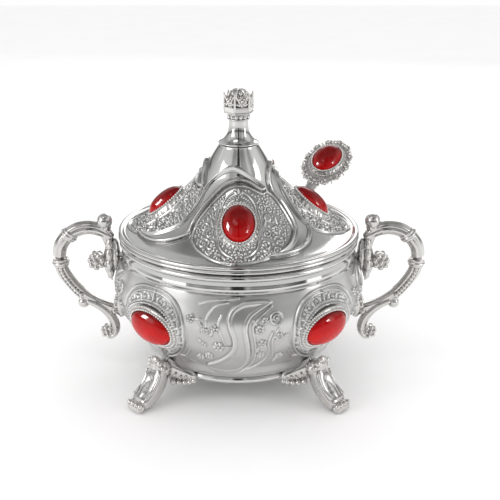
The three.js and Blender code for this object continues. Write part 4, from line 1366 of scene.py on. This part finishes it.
SPOON_ROLL = math.radians(11)          # of its face about its line
SPOON_AZIMUTH = math.radians(53)       # of its crossing with the rim, from +X
SPOON_RADIUS = 52                      # of the crossing, from the bowl's axis
SPOON_CROSSING = np.array([SPOON_RADIUS * math.cos(SPOON_AZIMUTH), SPOON_RADIUS * math.sin(SPOON_AZIMUTH),
                           RIM_HEIGHT + 3.1])
SPOON_STONE_PLACE = (0, 28.2, 1.05)    # up the spoon's line and out of its face, from the crossing


def spoon_line():
    """The spoon's direction, as its joint states it."""
    joint = next(j for j in frame["joints"] if j["name"] == "spoon_draw")
    return Vector(joint["axis"]).normalized()


def spoon_matrix():
    """The spoon's frame: +Y up its line, +Z out of its face, origin where it crosses the rim."""
    along = spoon_line()
    side = Vector((along.y, -along.x, 0)).normalized()
    side.rotate(Matrix.Rotation(SPOON_ROLL, 3, along))
    matrix = np.eye(4)
    matrix[:3, :3] = np.stack([side, along, side.cross(along)], axis=1)
    matrix[:3, 3] = SPOON_CROSSING
    return matrix


def notch_lid(lid):
    """Cuts the slot through the lid's rim that the spoon's stem leaves by."""
    along = spoon_line()
    heading = Matrix.Rotation(math.atan2(along.y, along.x), 4, "Z")
    block = Shape()
    corners = [(x, y, z) for z in (-10, 10) for x, y in ((-7, -4.2), (12, -4.2), (12, 4.2), (-7, 4.2))]
    faces = np.array([[3, 2, 1, 0], [4, 5, 6, 7], [0, 1, 5, 4], [1, 2, 6, 5], [2, 3, 7, 6], [3, 0, 4, 7]])
    block.add(corners, [faces])
    placed = block.moved(np.array(Matrix.Translation(SPOON_CROSSING) @ heading))
    cut_away(lid, placed.piece("notch_cutter", STEEL))


def spoon():
    matrix = spoon_matrix()
    shape = Shape()
    scoop(shape)
    stem = np.array([(0, -62.8, -0.8), (0, -50, -0.3), (0, -20, 0), (0, 6, 0), (0, 16, 0.2)])
    tube(shape, evenly(stem, 1.5), [1.1, 1.0, 1.0, 1.1, 1.3], [2.9, 1.9, 1.9, 2.2, 3.4],
         side=(1, 0, 0), sides=24)
    cartouche(shape)
    piece = fused(shape.moved(matrix), "spoon_body", CAST, voxel=0.24, soften=1)
    show(piece, "spoon", "cast_silver", "spoon")
    seat = matrix @ np.array(Matrix.Translation(SPOON_STONE_PLACE))
    gem("spoon_{}", "spoon", LID_STONE, seat, flat_ground(0.0), reach=2.1, root=0.0)


def scoop(shape):
    """The spoon's oval bowl, a thin dished shell."""
    turn = angles(72)
    middle, half, long_half, depth, wall = -81.0, 12.5, 19.0, 6.0, 1.2
    shares = np.array([0.03, 0.3, 0.55, 0.75, 0.9, 0.98, 1.0])
    outer = [(share, -depth * math.sqrt(max(0, 1 - share**2.2))) for share in shares]
    inner = [(share - wall / half * share, -(depth - wall) * math.sqrt(max(0, 1 - share**2.2)) + 0.1)
             for share in shares[::-1]]
    points = np.array([np.stack([half * share * np.cos(turn), middle + long_half * share * np.sin(turn),
                                 np.full(len(turn), z)], axis=1) for share, z in [*outer, *inner]])
    shape.grid(points)


CARTOUCHE = {"middle": 27.6, "half": 11.3, "long_half": 16.0}


def cartouche(shape):
    """The spoon's head: a plate with a scalloped edge, leaves and two rows of beads about the stone."""
    middle, half, long_half = CARTOUCHE.values()
    turn = angles(240)
    scallop = 0.96 + 0.03 * np.cos(12 * turn)
    rows = [(0.04, -1.0), (0.82, -1.0), (0.96, -0.5), (1.0, 0.2), (0.97, 0.7), (0.9, 1.0), (0.6, 1.1),
            (0.04, 1.1)]
    shape.grid(np.array([np.stack([half * share * scallop * np.cos(turn),
                                   middle + long_half * share * scallop * np.sin(turn),
                                   np.full(len(turn), z)], axis=1) for share, z in rows]))

    def dot(at, share, z, radius, stretch=(1, 1, 1)):
        spot = (half * share * math.cos(at), middle + long_half * share * math.sin(at), z)
        ball(shape, spot, radius, stretch, sides=12)

    leaves = 12
    for k in range(leaves):
        at = TURN * k / leaves
        dot(at, 1.0, 0.7, 1.1, (1, 1, 0.9))
        dot(at, 0.9, 1.5, 0.75)
        for shift in (-0.12, 0.12):
            dot(at + shift, 0.99, 0.9, 0.75)
        between = at + TURN / leaves / 2
        dot(between, 0.97, 1.0, 0.7)
        dot(between, 0.86, 1.5, 0.6)
        dot(between, 1.04, 0.2, 0.5)


notch_lid(lid)
gems()
handles()
feet()
neck()
crown()
spoon()
for node in frame["nodes"].values():
    if "screw" in node.name or "stud" in node.name or "nut" in node.name:
        node.data.materials.clear()
        node.data.materials.append(STEEL)

# ---------------------------------------------------------------- stage, light and camera

ELEVATION = math.radians(19.2)
CAMERA_REACH = 452.0            # millimetres from the camera to the bowl's axis at the rim
LENS, SENSOR = 72.0, 36.0
VIEW_SHIFT = (0.0228, -0.0328)  # of the view to the right and down, in picture widths


def panel(name, place, target, size, radiance):
    """A soft rectangular light of an even brightness."""
    data = bpy.data.lights.new(name, "AREA")
    data.shape = "RECTANGLE"
    data.size, data.size_y = size
    data.energy = radiance * math.pi * size[0] * size[1]
    light = bpy.data.objects.new(name, data)
    bpy.context.scene.collection.objects.link(light)
    light.location = Vector(place)
    light.rotation_euler = (Vector(target) - Vector(place)).to_track_quat("-Z", "Y").to_euler()
    return light


def spark(name, place, target, size, radiance):
    """A lamp that only the stones mirror."""
    light = panel(name, place, target, size, radiance)
    light.visible_diffuse = False
    stones = bpy.data.collections.new(name + "_stones")
    for piece in bpy.context.scene.collection.objects:
        if "gem" in piece.name:
            stones.objects.link(piece)
    light.light_linking.receiver_collection = stones


def stage_floor():
    """A wide pale paper floor."""
    nodes = Nodes("paper")
    place = nodes.place()
    nodes.link(nodes.ramp(nodes.noise(place, 0.02), [(0.3, 0.95), (0.7, 0.97)]), "Base Color")
    nodes.link(nodes.ramp(nodes.noise(place, 0.6), [(0.3, 0.75), (0.7, 0.9)]), "Roughness")
    side = 1500
    square = [(-side, -side, 0), (side, -side, 0), (side, side, 0), (-side, side, 0)]
    floor = new_mesh("stage_floor", square, [np.array([[0, 1, 2, 3]])], nodes.material, smooth=False)


# Greys of the tent as the metal mirrors it. By bearing, in degrees from the camera towards the right:
TENT_ROUND = [(-180, 0.35), (-165, 0.8), (-130, 0.55), (-100, 0.9), (-70, 1.05), (-38, 1.05), (-30, 0.55),
              (-13, 0.65), (-9, 1.0), (-6, 0.05), (5, 0.06), (8, 0.95), (12, 0.45), (34, 0.6), (42, 0.95),
              (60, 0.45), (78, 1.05), (110, 1.0), (135, 0.5), (165, 0.8), (180, 0.35)]
# And by height, as the sine of the angle over the horizon:
TENT_UP = [(0.0, 0.95), (0.06, 0.35), (0.14, 0.22), (0.2, 0.85), (0.5, 1.0), (0.72, 0.9), (0.82, 0.4),
           (1.0, 0.62)]


def studio():
    """A white tent. What is mirrored of it has grey and black strips, as from its gaps and seams."""
    world = bpy.data.worlds.new("studio")
    bpy.context.scene.world = world
    world.use_nodes = True
    tree = world.node_tree

    def node(kind, *values, **settings):
        new = tree.nodes.new(kind)
        for key, value in settings.items():
            setattr(new, key, value)
        for socket, value in zip(new.inputs, values):
            tree.links.new(value, socket)
        return new

    direction = node("ShaderNodeTexCoord").outputs["Generated"]
    split = node("ShaderNodeSeparateXYZ", direction).outputs
    ahead = node("ShaderNodeMath", split["Y"], operation="MULTIPLY")
    ahead.inputs[1].default_value = -1.0
    bearing = node("ShaderNodeMath", split["X"], ahead.outputs["Value"], operation="ARCTAN2")
    share = node("ShaderNodeMapRange", bearing.outputs["Value"])
    share.inputs["From Min"].default_value = -math.pi
    share.inputs["From Max"].default_value = math.pi
    around = [((degrees + 180) / 360, grey) for degrees, grey in TENT_ROUND]
    greys = [set_stops(node("ShaderNodeValToRGB", share.outputs["Result"]), around),
             set_stops(node("ShaderNodeValToRGB", split["Z"]), TENT_UP)]
    product = node("ShaderNodeVectorMath", *greys, operation="MULTIPLY")
    mirrored = node("ShaderNodeBackground", product.outputs["Vector"])
    white = tree.nodes["Background"]
    white.inputs["Color"].default_value = (1, 1, 1, 1)
    rays = node("ShaderNodeLightPath")
    mix = node("ShaderNodeMixShader", rays.outputs["Is Glossy Ray"], white.outputs["Background"],
               mirrored.outputs["Background"])
    tree.links.new(mix.outputs["Shader"], tree.nodes["World Output"].inputs["Surface"])


def camera():
    data = bpy.data.cameras.new("camera")
    data.lens, data.sensor_width = LENS, SENSOR
    data.clip_start, data.clip_end = 0.02, 20
    eye = bpy.data.objects.new("camera", data)
    bpy.context.scene.collection.objects.link(eye)
    back = Vector((0, -math.cos(ELEVATION), math.sin(ELEVATION)))
    aim = Vector((0, AXIS_Y, RIM_HEIGHT * MM))
    eye.location = aim + back * CAMERA_REACH * MM
    eye.rotation_euler = (-back).to_track_quat("-Z", "Y").to_euler()
    data.shift_x, data.shift_y = VIEW_SHIFT
    bpy.context.scene.camera = eye


studio()
stage_floor()
middle = (0, AXIS_Y, 0.06)
panel("panel_left", (-0.62, -0.36, 0.34), middle, (0.34, 0.5), 1.9)
panel("panel_right", (0.66, -0.22, 0.3), middle, (0.22, 0.5), 1.7)
panel("panel_top", (-0.2, -0.25, 0.8), middle, (0.3, 0.16), 1.8)
panel("panel_back", (0.12, 0.7, 0.4), middle, (0.5, 0.3), 1.8)
spark("spark_left", (-0.75, -0.1, 0.42), middle, (0.3, 0.36), 40)
spark("spark_right", (0.72, -0.4, 0.34), middle, (0.16, 0.2), 26)
camera()
bpy.context.scene.view_settings.view_transform = "Standard"
